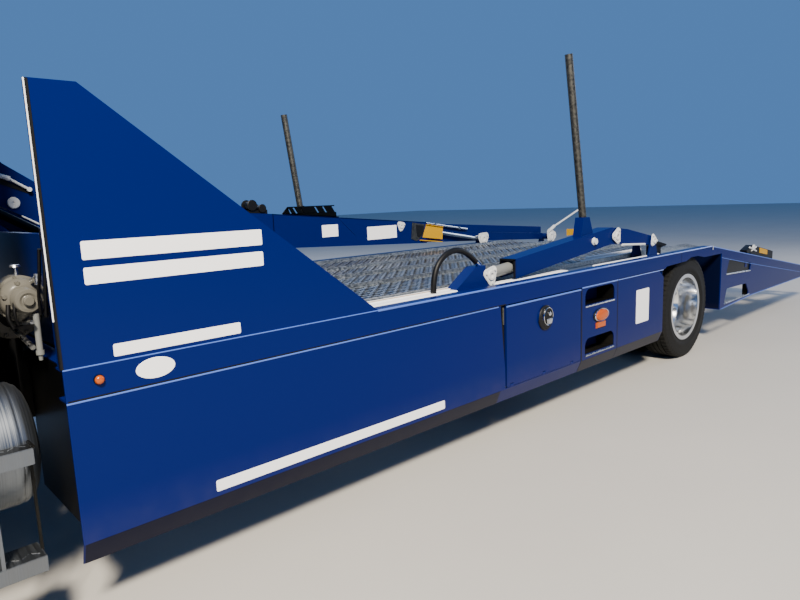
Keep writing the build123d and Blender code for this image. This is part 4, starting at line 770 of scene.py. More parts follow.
def latch_paddle(bm):
    dome(bm, "Y", LATCH_RING, 0.052, 0.06, ((1.0, -0.002), (1.0, 0.008), (0.97, 0.01), (0.93, 0.009), (0.9, 0.004)))
    x, z = LATCH_RING.x, LATCH_RING.z
    outline = [(x - 0.022, z - 0.048), (x + 0.022, z - 0.048), (x + 0.034, z - 0.014), (x - 0.034, z - 0.014)]
    slab(bm, "Y", outline, LATCH_RING.y + 0.008, LATCH_RING.y + 0.02, 0.004)
    knob = ((0.013, 0.008), (0.013, 0.02), (0.01, 0.023), (0.0, 0.023))
    turned(bm, "Y", (x, LATCH_RING.y, z + 0.018), knob, 20)


for hand in ("left", "right"):
    door = f"toolbox_door_{hand}"
    piece(black_plastic, body=door, name=f"latch_cup_{hand}", sides=hand)(latch_cup)
    piece(chrome, body=door, name=f"latch_paddle_{hand}", sides=hand)(latch_paddle)

# %% [markdown]
# ## Tyres
#
# A truck tyre is moulded: its tread has circumferential grooves and, on the shoulders, blocks cut by short
# slots, and its sidewall carries fine rings and a bulge over the bead. It could be displaced by a texture,
# but the blocks show in silhouette, so a profile is turned about the axle and the shoulder's radius is
# lowered at every slot. The blocks' tops keep the tyre's real radius, so that it stands on the floor.

# %% Tyre profile and tread
TYRE_R = 0.465
TYRE_HALF = 0.1275
RIM_R = 0.3
GROOVE = 0.011
TREAD_SLOTS = 64
STEPS_PER_SLOT = 4
SLOT_DEEP = 0.008
TREAD_HALF = 0.104
GROOVES = ((-0.062, 0.005), (-0.021, 0.0045), (0.021, 0.0045), (0.062, 0.005))


def tyre_section():
    """Tyre section as (radius, place across, whether a slot cuts it)."""
    sidewall = ((-0.008, 0.024), (0.01, 0.006), (0.018, 0.008), (0.04, 0.001), (0.062, 0.0), (0.066, 0.0015),
                (0.09, 0.002), (0.125, 0.007))
    section = [(RIM_R + out, -TYRE_HALF + inward, False) for out, inward in sidewall]
    section += [(TYRE_R - 0.036, -TYRE_HALF + 0.005, True), (TYRE_R - 0.012, -TYRE_HALF + 0.012, True),
                (TYRE_R - 0.003, -TREAD_HALF - 0.004, True)]
    shoulder = len(section)
    for middle, half in GROOVES:
        outer = abs(middle) > 0.05
        section += [(TYRE_R, middle - half - 0.001, outer and middle < 0),
                    (TYRE_R - GROOVE, middle - half + 0.0015, False),
                    (TYRE_R - GROOVE, middle + half - 0.0015, False),
                    (TYRE_R, middle + half + 0.001, outer and middle > 0)]
    return section + [(radius, -across, cut) for radius, across, cut in reversed(section[:shoulder])]


def tyre(bm, x, y):
    """A tyre about the axle line, with slots across its shoulders, set off by half a block between them."""
    steps = TREAD_SLOTS * STEPS_PER_SLOT
    rings = []
    for radius, across, cut in tyre_section():
        ring = []
        for i in range(steps):
            angle = math.tau * (i + (2 if across > 0 else 0)) / steps
            reach = radius - (SLOT_DEEP if cut and i % STEPS_PER_SLOT == 0 else 0.0)
            ring.append(bm.verts.new((x + reach * math.cos(angle), y + across, TYRE_R + reach * math.sin(angle))))
        rings.append(ring)
    skin(bm, rings + rings[:1], False)


FRONT_AXLE = 5.05
WHEELS = (
    # name, place along the truck, middles of the tyres, outer face of the disc, body
    ("front_left", FRONT_AXLE, (1.03,), 1.198, "wheel_front_left"),
    ("front_right", FRONT_AXLE, (-1.03,), -1.198, "wheel_front_right"),
    ("rear_left", REAR_AXLE, (1.1425, 0.7995), 0.9965, "wheels_rear_left"),
    ("rear_right", REAR_AXLE, (-1.1425, -0.7995), -0.9965, "wheels_rear_right"),
)

for name, x, middles, face, body in WHEELS:
    @piece(tyre_rubber, body=body, name=f"tyres_{name}_treaded", sharp_deg=28.0)
    def tyres(bm):
        for middle in middles:
            tyre(bm, x, middle)

    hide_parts(f"tyres_{name}")

# %% [markdown]
# ## Wheel nuts and hubs
#
# Ten flanged nuts hold each wheel, on a circle of 285.75 mm. The driven hub ends in an axle flange with its
# own ring of bolts, the front one in a smooth oil cap. Each nut could be an instance, but ten turned solids
# on a circle are a loop of three lines, and the result is one mesh a wheel.

# %% Nuts, hubs and valves
def on_circle(centre, radius, count, turn=0.0):
    """Places at equal steps on a circle about a line along Y."""
    angles = [math.tau * i / count + turn for i in range(count)]
    return [(centre[0] + radius * math.cos(a), centre[1], centre[2] + radius * math.sin(a)) for a in angles]


def facing(profile, out):
    """A profile, or with out at -1 the same one facing the other way."""
    return [(radius, along * out) for radius, along in profile]


NUT_CIRCLE = 0.28575 / 2
NUT = ((0.022, 0.0), (0.022, 0.005), (0.0185, 0.007), (0.0185, 0.028), (0.016, 0.031))
STUD = ((0.011, 0.031), (0.011, 0.045), (0.009, 0.047))
AXLE_FLANGE = ((0.118, 0.0), (0.118, 0.012), (0.11, 0.016), (0.08, 0.02), (0.072, 0.036), (0.03, 0.042),
               (0.0, 0.042))
OIL_CAP = ((0.092, -0.002), (0.092, 0.01), (0.082, 0.016), (0.08, 0.034), (0.07, 0.044), (0.0, 0.046))


def studs(bm, x, face, out, circle, count, size=1.0, turn=0.0):
    """Hexagon nuts on a circle about the axle; out is the outward side."""
    for centre in on_circle((x, face, TYRE_R), circle, count, turn):
        for profile, steps in ((NUT, 6), (STUD, 10)):
            turned(bm, "Y", centre, [(radius * size, along * out * size) for radius, along in profile], steps)


for name, x, middles, face, body in WHEELS:
    out = 1 if face > 0 else -1
    driven = name.startswith("rear")

    @piece(chrome, body=body, name=f"wheel_nuts_{name}")
    def nuts(bm):
        studs(bm, x, face, out, NUT_CIRCLE, 10)
        if driven:
            studs(bm, x, out * 1.0845, out, 0.096, 8, 0.55, 0.2)

    @piece(cast_grey if driven else chrome, body=body, name=f"wheel_hub_{name}", slot="grey_steel")
    def hub(bm):
        """The hub's flange or cap, and the bent stem of the valve."""
        place, profile = (1.07, AXLE_FLANGE) if driven else (1.202, OIL_CAP)
        turned(bm, "Y", (x, out * place, TYRE_R), facing(profile, out), 48)
        stem = ((0.205, -0.01), (0.215, 0.02), (0.25, 0.05))
        bar(bm, rounded([(x + ahead, face + out * rise, TYRE_R) for ahead, rise in stem], 0.02), 0.006, 10)

# %% [markdown]
# ## The grip deck
#
# The deck is galvanised grip planking: strands of steel every 50 mm that bow towards each other, so that
# diamond openings lie between them, with teeth along their edges against slipping. A texture of diamonds
# would look flat from the low camera, where the strands' faces and the dark gaps make the pattern. So each
# strand is a real bar, drawn by a loop along its zigzag, and each plank has its two folded side lips.

# %% A strand and a plank
STRAND_PITCH = 0.05
STRAND_HALF = 0.0125
STRAND_BOW = 0.009
STRAND_HIGH = 0.012
TOOTH = 0.003
DIAMOND = 0.095
PLANK_LIP = 0.042
SHEET = 0.004


def strand(bm, x, low, high, flip, top):
    """One bowed strand across a plank, its top toothed."""
    count = max(4, round((high - low) / DIAMOND) * 4)
    rings = []
    for i in range(count + 1):
        y = low + (high - low) * i / count
        middle = x + flip * STRAND_BOW * math.sin(math.tau * i / 4)
        crest = top - (TOOTH if i % 2 else 0.0)
        rings.append([bm.verts.new((middle + share * STRAND_HALF, y, z)) for share, z in (
            (-1, crest), (1, crest), (0.7, top - STRAND_HIGH), (-0.7, top - STRAND_HIGH))])
    skin(bm, rings, False)


def plank(bm, front, rear, low, high, foot):
    """A grip plank between two places along the truck and two across it, standing on foot."""
    top = foot + 0.006 + STRAND_HIGH
    for y, inward in ((low, 1), (high, -1)):
        lip = sorted((y, y + inward * SHEET))
        cuboid(bm, (rear, lip[0], foot), (front, lip[1], foot + PLANK_LIP))
        ledge = sorted((y, y + inward * 0.022))
        cuboid(bm, (rear, ledge[0], foot), (front, ledge[1], foot + SHEET))
    for i in range(int((front - rear) / STRAND_PITCH)):
        strand(bm, rear + STRAND_PITCH * (i + 0.5), low + SHEET, high - SHEET, 1 if i % 2 else -1, top)
    middle = (low + high) / 2
    for y in (low + 0.33 * (high - low), middle, low + 0.67 * (high - low)):
        cuboid(bm, (rear, y - 0.002, foot), (front, y + 0.002, foot + 0.01))
    bmesh.ops.recalc_face_normals(bm, faces=bm.faces)


PLANK_LOW, PLANK_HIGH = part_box("runway_left")

# %% The planks of the deck and the tail
@piece(galvanised)
def grip_plank_left(bm):
    plank(bm, PLANK_HIGH.x, PLANK_LOW.x, PLANK_LOW.y, PLANK_HIGH.y, PLANK_LOW.z)


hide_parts("runway_left")
TAIL_FALL = math.atan(0.158)
TAIL_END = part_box("runways_ribbed")[0]


@piece(galvanised)
def grip_planks_right_and_tail(bm):
    plank(bm, PLANK_HIGH.x, PLANK_LOW.x, -PLANK_HIGH.y, -PLANK_LOW.y, PLANK_LOW.z)
    length = (PLANK_LOW.x - TAIL_END.x) / math.cos(TAIL_FALL) - 0.012
    for low, high in ((PLANK_LOW.y, PLANK_HIGH.y), (-PLANK_HIGH.y, -PLANK_LOW.y)):
        sloping = bmesh.new()
        plank(sloping, -0.006, -length, low, high, 0.0)
        sloping.transform(Matrix.Translation((PLANK_LOW.x - 0.004, 0, PLANK_LOW.z - 0.001))
                          @ Matrix.Rotation(-TAIL_FALL, 4, "Y"))
        copy = bpy.data.meshes.new("sloping")
        sloping.to_mesh(copy)
        sloping.free()
        bm.from_mesh(copy)
        bpy.data.meshes.remove(copy)


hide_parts("runways_ribbed")
CENTRE_LOW, CENTRE_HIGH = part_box("deck_centre")
SEAM_HALF = 0.0015


@piece(galvanised)
def grip_planks_centre(bm):
    for low, high in ((CENTRE_LOW.y, -SEAM_HALF), (SEAM_HALF, CENTRE_HIGH.y)):
        plank(bm, CENTRE_HIGH.x, CENTRE_LOW.x, low, high, CENTRE_LOW.z)


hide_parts("deck_centre")
print("centre planks from", round(CENTRE_LOW.x, 3), "to", round(CENTRE_HIGH.x, 3), "on", round(CENTRE_LOW.z, 3))

# %% [markdown]
# ## Pins and keeper plates
#
# Every pivot of the lifting gear is a steel pin held by a keeper: a plate in silver zinc-rich paint, shaped
# like a rounded triangle, with a boss at the pin and a bolt at each corner. The plate could be one slab, but
# boss and bolts are what the eye reads as a pivot. One function draws a keeper at any pin, on either face.

# %% Keepers
ARM_Y = SIDE - 0.163
ARM_HALF = 0.06
BEAM_Y = -ARM_Y


def keeper(bm, forward, height, face, out, size=1.0, turn=0.0):
    """A keeper plate on a face across Y, with a boss at the pin and a bolt in each corner."""
    centre = (at(forward), height)
    outline = []
    for corner in range(3):
        middle = turn + math.tau * corner / 3
        for swing in (-0.45, -0.2, 0.0, 0.2, 0.45):
            angle = middle + swing
            reach = 0.062 * size if abs(swing) < 0.3 else 0.055 * size
            outline.append((centre[0] + reach * math.cos(angle), centre[1] + reach * math.sin(angle)))
    low, high = sorted((face, face + out * 0.008))
    slab(bm, "Y", outline, low, high, 0.002)
    boss = ((0.029, 0.0), (0.029, 0.014), (0.026, 0.017), (0.014, 0.017), (0.012, 0.006), (0.0, 0.006))
    pin = (centre[0], face, centre[1])
    turned(bm, "Y", pin, [(radius * size, along * out) for radius, along in boss], 28)
    for place in on_circle(pin, 0.045 * size, 3, turn):
        turned(bm, "Y", place, facing(((0.01, 0.008), (0.01, 0.015), (0.008, 0.017)), out), 6)


@piece(silver_enamel)
def keepers_brackets(bm):
    for forward, height, face, out, size, turn in (
            (2.696, 1.04, ARM_Y + 0.039, 1, 1.1, 0.3), (2.696, 1.04, ARM_Y - 0.039, -1, 1.0, 0.3),
            (0.574, 1.109, ARM_Y + ARM_HALF + 0.017, 1, 0.9, 1.2),
            (0.01, 1.04, BEAM_Y + 0.048, 1, 1.6, 0.5), (0.01, 1.04, BEAM_Y - 0.028, -1, 0.9, 0.5),
            (-1.334, 0.985, BEAM_Y + ARM_HALF + 0.017, 1, 1.8, 0.9)):
        keeper(bm, forward, height, face, out, size, turn)
    bar(bm, [(at(-1.3), BEAM_Y + 0.075, 1.055), (at(-1.42), BEAM_Y + 0.07, 1.11)], 0.022, 12)
    bar(bm, [(at(-1.4), BEAM_Y + 0.07, 1.102), (at(-2.014), BEAM_Y + 0.062, 1.297)], 0.012, 12)


@piece(silver_enamel, body="lift_arm")
def keepers_arm(bm):
    keeper(bm, 1.18, 1.185, ARM_Y + ARM_HALF + 0.008, 1, 1.1, 0.0)
    keeper(bm, 1.18, 1.185, ARM_Y - ARM_HALF - 0.008, -1, 1.0, 0.9)
    cap = ((0.028, 0.0), (0.028, 0.006), (0.022, 0.01), (0.022, 0.023), (0.0, 0.023))
    turned(bm, "Y", (at(1.505), ARM_Y + ARM_HALF, 1.165), cap, 28)
    bar(bm, [(at(1.08), ARM_Y + ARM_HALF + 0.004, 1.108), (at(0.7), ARM_Y + ARM_HALF + 0.004, 1.085)], 0.009, 8)


@piece(silver_enamel, body="lift_beam")
def keepers_beam(bm):
    keeper(bm, 1.33, 1.262, BEAM_Y + ARM_HALF, 1, 0.9, 0.7)

# %% [markdown]
# ## The lift beam
#
# The far side has a longer lift, a folded box open below with a flat bar behind it. Its wedge, which holds
# the post, is a black slotted plate on a foot, so light shows through the slots. The CAD solid has the plain
# wedge. It could be dressed from outside, but slots can't be added on top, so the whole beam is drawn again
# on the same outlines from slabs of the sheet's thickness, with blue for the box and black for the wedge.

# %% Box and bar
BEAM_HALF = 0.06
BEAM_WALL = 0.008
BOX = ((2.83, 1.446), (0.96, 1.283), (0.96, 1.063), (2.83, 1.15))
REAR_BAR = ((1.1, 1.2), (-1.334, 1.022), (-1.334, 0.948), (1.1, 1.075))
CHEEK = ((0.97, 1.275), (0.85, 1.225), (0.85, 1.15), (0.97, 1.1))
SLOTS = ((2.124, 2.16), (2.231, 2.267), (2.319, 2.355), (2.48, 2.516), (2.551, 2.587), (2.612, 2.648))
PLATE_LOW, PLATE_HIGH, SLOT_WIDE = 1.436, 1.49, 0.02


def forward_slab(bm, outline, low, high, soft=0.0):
    """A slab across Y with its outline as (forward, height)."""
    slab(bm, "Y", [(at(forward), height) for forward, height in outline], BEAM_Y + low, BEAM_Y + high, soft)


def box_top(forward):
    """Height of the box's upper face."""
    (front, high), (rear, low) = BOX[0], BOX[1]
    return low + (high - low) * (forward - rear) / (front - rear)


def beam_box(bm):
    for low in (-BEAM_HALF, BEAM_HALF - BEAM_WALL):
        forward_slab(bm, BOX, low, low + BEAM_WALL)
        forward_slab(bm, CHEEK, low, low + BEAM_WALL)
    top = [BOX[0], BOX[1], (BOX[1][0], BOX[1][1] - 0.009), (BOX[0][0], BOX[0][1] - 0.009)]
    forward_slab(bm, top, -BEAM_HALF, BEAM_HALF, 0.002)
    front = [(2.82, 1.15), (2.83, 1.15), (2.83, 1.446), (2.82, 1.446)]
    forward_slab(bm, front, -BEAM_HALF, BEAM_HALF)
    forward_slab(bm, REAR_BAR, -BEAM_HALF, -BEAM_HALF + 0.028, 0.002)
    boss = ((0.03, -0.044), (0.037, -0.04), (0.037, 0.056), (0.03, 0.06))
    turned(bm, "Y", (at(-1.334), BEAM_Y, 0.985), boss, 36)
    turned(bm, "Y", (at(1.33), BEAM_Y, 1.262), ((0.02, -BEAM_HALF), (0.02, BEAM_HALF)), 24)
    weld = [(at(2.126), BEAM_Y + BEAM_HALF, box_top(2.126) - 0.003), (at(1.93), BEAM_Y + BEAM_HALF, 1.21)]
    bar(bm, weld, 0.004, 8)

# %% The wedge with its slots, and the whole beam
def beam_wedge(bm):
    """The foot and its upright plate with sloping slots, and the socket of the post."""
    foot = [(2.66, box_top(2.66)), (2.1, box_top(2.1)), (2.1, box_top(2.1) + 0.01),
            (2.66, box_top(2.66) + 0.01)]
    forward_slab(bm, foot, -0.04, 0.04, 0.001)
    near, far = 0.032, 0.04
    low_strip = [(2.72, 1.44), (2.128, box_top(2.128)), (2.128, PLATE_LOW), (2.7, PLATE_LOW + 0.006)]
    forward_slab(bm, low_strip, near, far)
    forward_slab(bm, [(2.7, PLATE_LOW), (2.64, PLATE_HIGH), (2.66, 1.5), (2.72, 1.44)], near, far)
    forward_slab(bm, [(2.147, PLATE_HIGH), (2.668, PLATE_HIGH), (2.66, 1.5), (2.147, 1.5)], near, far)
    edges = [(2.128, 2.147)] + [(low + SLOT_WIDE, high + SLOT_WIDE) for low, high in SLOTS]
    nexts = list(SLOTS) + [(2.69, 2.655)]
    for (start_low, start_high), (end_low, end_high) in zip(edges[1:], nexts[1:]):
        column = [(start_low, PLATE_LOW), (end_low, PLATE_LOW), (end_high, PLATE_HIGH), (start_high, PLATE_HIGH)]
        forward_slab(bm, column, near, far)
    lean = Vector((at(2.608) - at(2.499), 0.0, 2.283 - 1.521)).normalized()
    low_end = Vector((at(2.499), BEAM_Y, 1.521)) - lean * 0.095
    bar(bm, [low_end, low_end + lean * 0.075], 0.034, 24)


@piece(blue_enamel, black_enamel, body="lift_beam")
def lift_beam_folded(bm):
    beam_box(bm)
    blue = len(bm.faces)
    beam_wedge(bm)
    bm.faces.ensure_lookup_table()
    for face in bm.faces[blue:]:
        face.material_index = 1


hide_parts("lift_beam")

# %% Brackets, plates and the winch on the beam
BEAM_FACE = BEAM_Y + BEAM_HALF


@piece(yellow_enamel, body="lift_beam")
def beam_bracket_yellow(bm):
    on_face = [(0.966, 1.25), (0.711, 1.212), (0.722, 1.085), (1.023, 1.125), (1.005, 1.17)]
    forward_slab(bm, on_face, BEAM_HALF, BEAM_HALF + 0.006, 0.001)
    forward_slab(bm, [(1.067, 1.104), (0.737, 1.064), (0.737, 1.056), (1.067, 1.096)], BEAM_HALF, BEAM_HALF + 0.02)
    forward_slab(bm, [(0.97, 1.262), (0.715, 1.224), (0.715, 1.217), (0.97, 1.255)], BEAM_HALF, BEAM_HALF + 0.018)


@piece(grey_tube, body="lift_beam")
def beam_mouth_collar(bm):
    ring = [(1.171, 1.289), (0.99, 1.262), (1.0, 1.19), (1.023, 1.145), (1.11, 1.092), (1.193, 1.12)]
    forward_slab(bm, ring, BEAM_HALF, BEAM_HALF + 0.005, 0.001)


@piece(black_plastic, body="lift_beam")
def beam_mouth_shade_and_winch(bm):
    # painted shade: a black plate inside the grey collar for the beam's open mouth
    hole = [(1.12, 1.262), (1.0, 1.246), (1.01, 1.19), (1.03, 1.155), (1.075, 1.125), (1.105, 1.14)]
    forward_slab(bm, hole, BEAM_HALF + 0.005, BEAM_HALF + 0.0065)
    for forward, height, size in ((2.915, 1.496, 0.036), (3.01, 1.524, 0.046)):
        reel = ((0.9, -0.056), (1.0, -0.052), (1.0, -0.042), (0.7, -0.04), (0.7, 0.04), (1.0, 0.042), (1.0, 0.052),
                (0.9, 0.056))
        turned(bm, "Y", (at(forward), BEAM_Y, height), [(size * r, y) for r, y in reel], 28)
    cuboid(bm, (at(2.86), BEAM_Y - 0.04, 1.44), (at(3.05), BEAM_Y + 0.04, 1.485), 0.004)


@piece(blue_enamel, body="lift_beam")
def beam_nose(bm):
    """The end piece that closes the box and carries the reels, and the raised flange of the rear bar."""
    forward_slab(bm, [(2.824, 1.4455), (3.06, 1.462), (3.06, 1.4), (2.824, 1.18)], -0.0605, 0.0605, 0.003)
    forward_slab(bm, [(0.85, 1.262), (-1.28, 1.112), (-1.28, 1.027), (0.85, 1.182)], -0.06, -0.04, 0.002)


@piece(ground_rod, body="lift_beam")
def beam_hydraulic_tube(bm):
    """A hydraulic tube with two clamps above the cylinder."""
    start, end = (at(0.936), BEAM_Y - 0.012, 1.276), (at(0.225), BEAM_Y - 0.012, 1.168)
    bar(bm, [start, end], 0.012, 14)
    for share in (0.25, 0.8):
        x, y, z = (a + (b - a) * share for a, b in zip(start, end))
        cuboid(bm, (x - 0.015, BEAM_Y - 0.045, z - 0.017), (x + 0.015, y + 0.016, z + 0.017), 0.002)


@piece(white_vinyl, body="lift_beam")
def beam_labels_blank(bm):
    for rear, front, low, high in ((2.135, 2.318, 1.212, 1.322), (1.392, 1.78, 1.15, 1.276)):
        cuboid(bm, (at(rear), BEAM_FACE, low), (at(front), BEAM_FACE + 0.001, high))


@piece(yellow_enamel)
def rail_plate_yellow(bm):
    forward_slab(bm, [(-1.741, 0.966), (-2.044, 0.966), (-2.044, 1.04), (-1.741, 1.054)], 0.055, 0.061, 0.001)

# %% [markdown]
# The lift arm's mouth has a black rubber-lined collar where the cylinder's barrel goes in, and behind its
# pivot two pointed black plates guide it home. Crimped steel fittings end the hose. Their hexagon could be
# cut from a round part, but turned in six steps instead of many a profile gives it at once. Along the left
# rail lie pale strips that paint the sunlight on the edge plates and lips as a painted highlight, with a
# yellow line, as on loading decks.

# %% Collar and guides
@piece(black_plastic, body="lift_arm")
def arm_mouth_collar(bm):
    front, thick = at(2.462), 0.014
    for y in (ARM_Y - ARM_HALF, ARM_Y + ARM_HALF - 0.01):
        cuboid(bm, (front, y, 0.996), (front + thick, y + 0.01, 1.118), 0.002)
    cuboid(bm, (front, ARM_Y - ARM_HALF, 1.106), (front + thick, ARM_Y + ARM_HALF, 1.12), 0.002)


@piece(black_enamel)
def arm_guides_black(bm):
    outline = [(at(0.505), 1.112), (at(0.217), 1.049), (at(0.23), 1.038), (at(0.33), 1.03), (at(0.505), 1.062)]
    for y in (ARM_Y - 0.034, ARM_Y + 0.026):
        slab(bm, "Y", outline, y, y + 0.008, 0.001)
    cuboid(bm, (at(0.33), ARM_Y - 0.034, 0.966), (at(0.47), ARM_Y + 0.034, 1.05), 0.003)

# %% Hose fittings, painted highlights on the deck's edge and the yellow line
def fitting(bm, start, ahead, out=0.058):
    """A crimped hose end: ferrule, hexagon and nipple, from start along ahead."""
    direction = Vector(ahead).normalized()
    spin = Vector((0, 0, 1)).rotation_difference(direction).to_matrix().to_4x4()
    before = len(bm.verts)
    turned(bm, "Z", (0, 0, 0), ((0.014, 0.0), (0.0155, 0.003), (0.0155, out * 0.6), (0.014, out * 0.65)), 24)
    turned(bm, "Z", (0, 0, 0), ((0.018, out * 0.65), (0.018, out)), 6)
    bm.verts.ensure_lookup_table()
    fresh = bm.verts[before:]
    bmesh.ops.transform(bm, matrix=Matrix.Translation(start) @ spin, verts=fresh)


@piece(chrome)
def hose_fittings(bm):
    start, second = Vector(hose_points[0]), Vector(hose_points[1])
    lead = (second - start).normalized()
    fitting(bm, start + lead * 0.03, -lead, 0.07)
    fitting(bm, Vector(hose_points[-1]) + Vector((0, 0, 0.02)), (0, 0, -1), 0.04)


# painted highlight: pale strips along the left rail
@piece(white_vinyl, slot="galvanised_steel")
def deck_edging_painted_highlight(bm):
    for y in (1.062, 1.098):
        cuboid(bm, (at(2.86), y, 0.966), (at(5.0), y + 0.026, 0.99), 0.003)
    for rear, front, near, far, low in ((0.43, 1.5, 1.18, 1.2, 0.966), (1.86, 2.66, 1.14, 1.2, 0.966),
                                        (3.02, 4.6, 1.14, 1.19, 0.966), (0.557, 1.4, 1.018, 1.046, 0.984),
                                        (0.208, 1.14, 0.9, 0.926, 0.984)):
        cuboid(bm, (at(rear), near, low), (at(front), far, low + 0.021), 0.003)


@piece(yellow_enamel)
def deck_edging_yellow(bm):
    cuboid(bm, (at(2.9), 1.088, 0.966), (at(5.0), 1.098, 0.991), 0.001)

# %% [markdown]
# ## Between the deck and the cab
#
# The fin's front edge is capped by a black rubber seal and a thin white strip, which is a painted highlight of the
# sunlit edge. Below it lie the round aluminium fuel tanks, with dished ends, a filler cap and straps. A dish could
# be a flattened ball, but one profile, turned about the tank's axis, draws its seam, its curve and its middle
# together.

# %% Painted highlight and seal on the fin's edge
FIN_TOP = 1.952
TRIM_LOW = 1.155


# painted highlight: a thin white strip on the fin's front edge
@piece(white_vinyl, sides="both")
def fin_edge_painted_highlight(bm):
    cuboid(bm, (FRONT_END + 0.005, SIDE - 0.01, TRIM_LOW), (FRONT_END + 0.009, SIDE - 0.003, FIN_TOP), 0.001)


@piece(black_plastic, sides="both")
def fin_edge_seal(bm):
    cuboid(bm, (FRONT_END - 0.006, SIDE - 0.02, RAIL_TOP), (FRONT_END + 0.005, SIDE + 0.0015, FIN_TOP), 0.002)

# %% Tank straps, caps and bands
TANK_LOW, TANK_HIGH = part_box("fuel_tanks")
TANK_R = 0.23
TANK_Y = TANK_HIGH.y - TANK_R - 0.004
TANK_Z = (TANK_LOW.z + TANK_HIGH.z) / 2
DISH = 0.068
STRAPS = (5.42, 5.87, 6.32)


@piece(black_plastic, sides="both")
def fuel_tank_straps(bm):
    for forward in STRAPS:
        for rise in (0.0045, 0.007):
            half = 0.024 if rise < 0.005 else 0.012
            ring = ((TANK_R + 0.003, -half), (TANK_R + rise, -half), (TANK_R + rise, half), (TANK_R + 0.003, half))
            turned(bm, "X", (at(forward), TANK_Y, TANK_Z), ring, 64)
        bolt = (at(forward), TANK_Y + TANK_R * 0.55, TANK_Z - TANK_R * 0.93)
        cuboid(bm, [c - 0.014 for c in bolt], [c + 0.014 for c in bolt], 0.003)


@piece(rolled_tank, sides="both")
def fuel_tank_fittings(bm):
    cap = ((0.062, 0.0), (0.062, 0.012), (0.056, 0.014), (0.056, 0.04), (0.046, 0.05), (0.0, 0.052))
    neck = Matrix.Translation((at(6.1), TANK_Y + 0.12, TANK_Z + 0.185)) @ Matrix.Rotation(math.radians(-32), 4, "X")
    before = len(bm.verts)
    turned(bm, "Z", (0, 0, 0), cap, 40)
    for i in range(14):
        angle = math.tau * i / 14
        x, y = 0.056 * math.cos(angle), 0.056 * math.sin(angle)
        cuboid(bm, (x - 0.004, y - 0.004, 0.014), (x + 0.004, y + 0.004, 0.04), 0.001)
    bm.verts.ensure_lookup_table()
    bmesh.ops.transform(bm, matrix=neck, verts=bm.verts[before:])
    for end, out in ((TANK_LOW.x, -1), (TANK_HIGH.x, 1)):
        dish = [(TANK_R - 0.004, -0.03), (TANK_R - 0.002, 0.0), (TANK_R - 0.008, 0.01)]
        dish += [((TANK_R - 0.012) * math.cos(math.radians(a)), 0.012 + (DISH - 0.012) * math.sin(math.radians(a)))
                 for a in (0, 15, 30, 45, 60, 75)]
        dish.append((0.0, DISH))
        turned(bm, "X", (end, TANK_Y, TANK_Z), facing(dish, out), 64)

# %% [markdown]
# The steps beside the tanks are aluminium plate with raised grip marks: short bars, every second one turned
# the other way, as on rolled tread plate. Bump would vanish at the low angle the steps are seen from.

# %% Tread marks on the steps
STEPS_LOW, STEPS_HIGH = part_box("cab_steps")
STEP_TOPS = (0.74, 0.35)


def tread_marks(bm, x_low, x_high, y_low, y_high, top, pitch=0.032):
    """Raised bars in two directions over a plate's top."""
    for i in range(int((x_high - x_low) / pitch)):
        for j in range(int((y_high - y_low) / pitch)):
            x = x_low + pitch * (i + 0.5)
            y = y_low + pitch * (j + 0.5)
            lean = 0.009 if (i + j) % 2 else -0.009
            outline = [(x - 0.011, y - lean - 0.002), (x + 0.011, y + lean - 0.002),
                       (x + 0.011, y + lean + 0.002), (x - 0.011, y - lean + 0.002)]
            slab(bm, "Z", outline, top - 0.001, top + 0.002)


@piece(rolled_tank, sides="both")
def cab_step_boards(bm):
    for top in STEP_TOPS:
        cuboid(bm, (STEPS_LOW.x, SIDE - 0.01, top - 0.056), (STEPS_HIGH.x, SIDE - 0.004, top + 0.002), 0.002)


@piece(zinc_plated, sides="both", slot="polished_aluminium")
def cab_step_treads(bm):
    for top in STEP_TOPS:
        tread_marks(bm, STEPS_LOW.x + 0.01, STEPS_HIGH.x - 0.01, SIDE - 0.066, SIDE - 0.012, top)


@piece(black_enamel, sides="both")
def cab_step_hangers(bm):
    """The black bars that join the steps at their rear ends, bent over the upper one."""
    x, y = STEPS_LOW.x - 0.004, SIDE - 0.075
    bar_points = [(x, SIDE - 0.012, STEP_TOPS[0] + 0.006), (x, y, STEP_TOPS[0] + 0.004), (x, y, 0.33)]
    for start, end in zip(bar_points, bar_points[1:]):
        low = [min(a, b) - c for a, b, c in zip(start, end, (0.002, 0.006, 0.004))]
        high = [max(a, b) + c for a, b, c in zip(start, end, (0.008, 0.006, 0.004))]
        cuboid(bm, low, high, 0.002)
    cuboid(bm, (STEPS_LOW.x, SIDE - 0.066, STEP_TOPS[0]), (STEPS_HIGH.x, SIDE - 0.012, STEP_TOPS[0] + 0.0015))

# %% [markdown]
# The canister behind the cab is a cylinder between grey cast rings, and the drum in front of it a stack of
# turned castings. Each could be a scaled cylinder, but the steps from ring to ring catch the light, so each is
# turned from its profile, and its bolts stand in a circle. Thin pipes and hoses are bars along lines.

# %% The canister behind the cab
CANISTER_LOW, CANISTER_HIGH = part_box("exhaust")
CANISTER = Vector(((CANISTER_LOW.x + CANISTER_HIGH.x) / 2, CANISTER_HIGH.y - 0.02, CANISTER_HIGH.z - 0.1))
DRUM = Vector((3.083, 0.94, 1.202))


@piece(cast_grey)
def canister_rings(bm):
    rings = ((0.101, -0.26), (0.106, -0.255), (0.106, -0.235), (0.101, -0.23), (0.101, -0.03), (0.107, -0.025),
             (0.107, -0.005), (0.1, 0.002), (0.086, 0.006), (0.0, 0.006))
    turned(bm, "Y", CANISTER, rings, 56)
    for place in on_circle(CANISTER, 0.094, 8, math.pi / 8):
        turned(bm, "Y", place, ((0.009, -0.02), (0.009, 0.012), (0.007, 0.014)), 6)


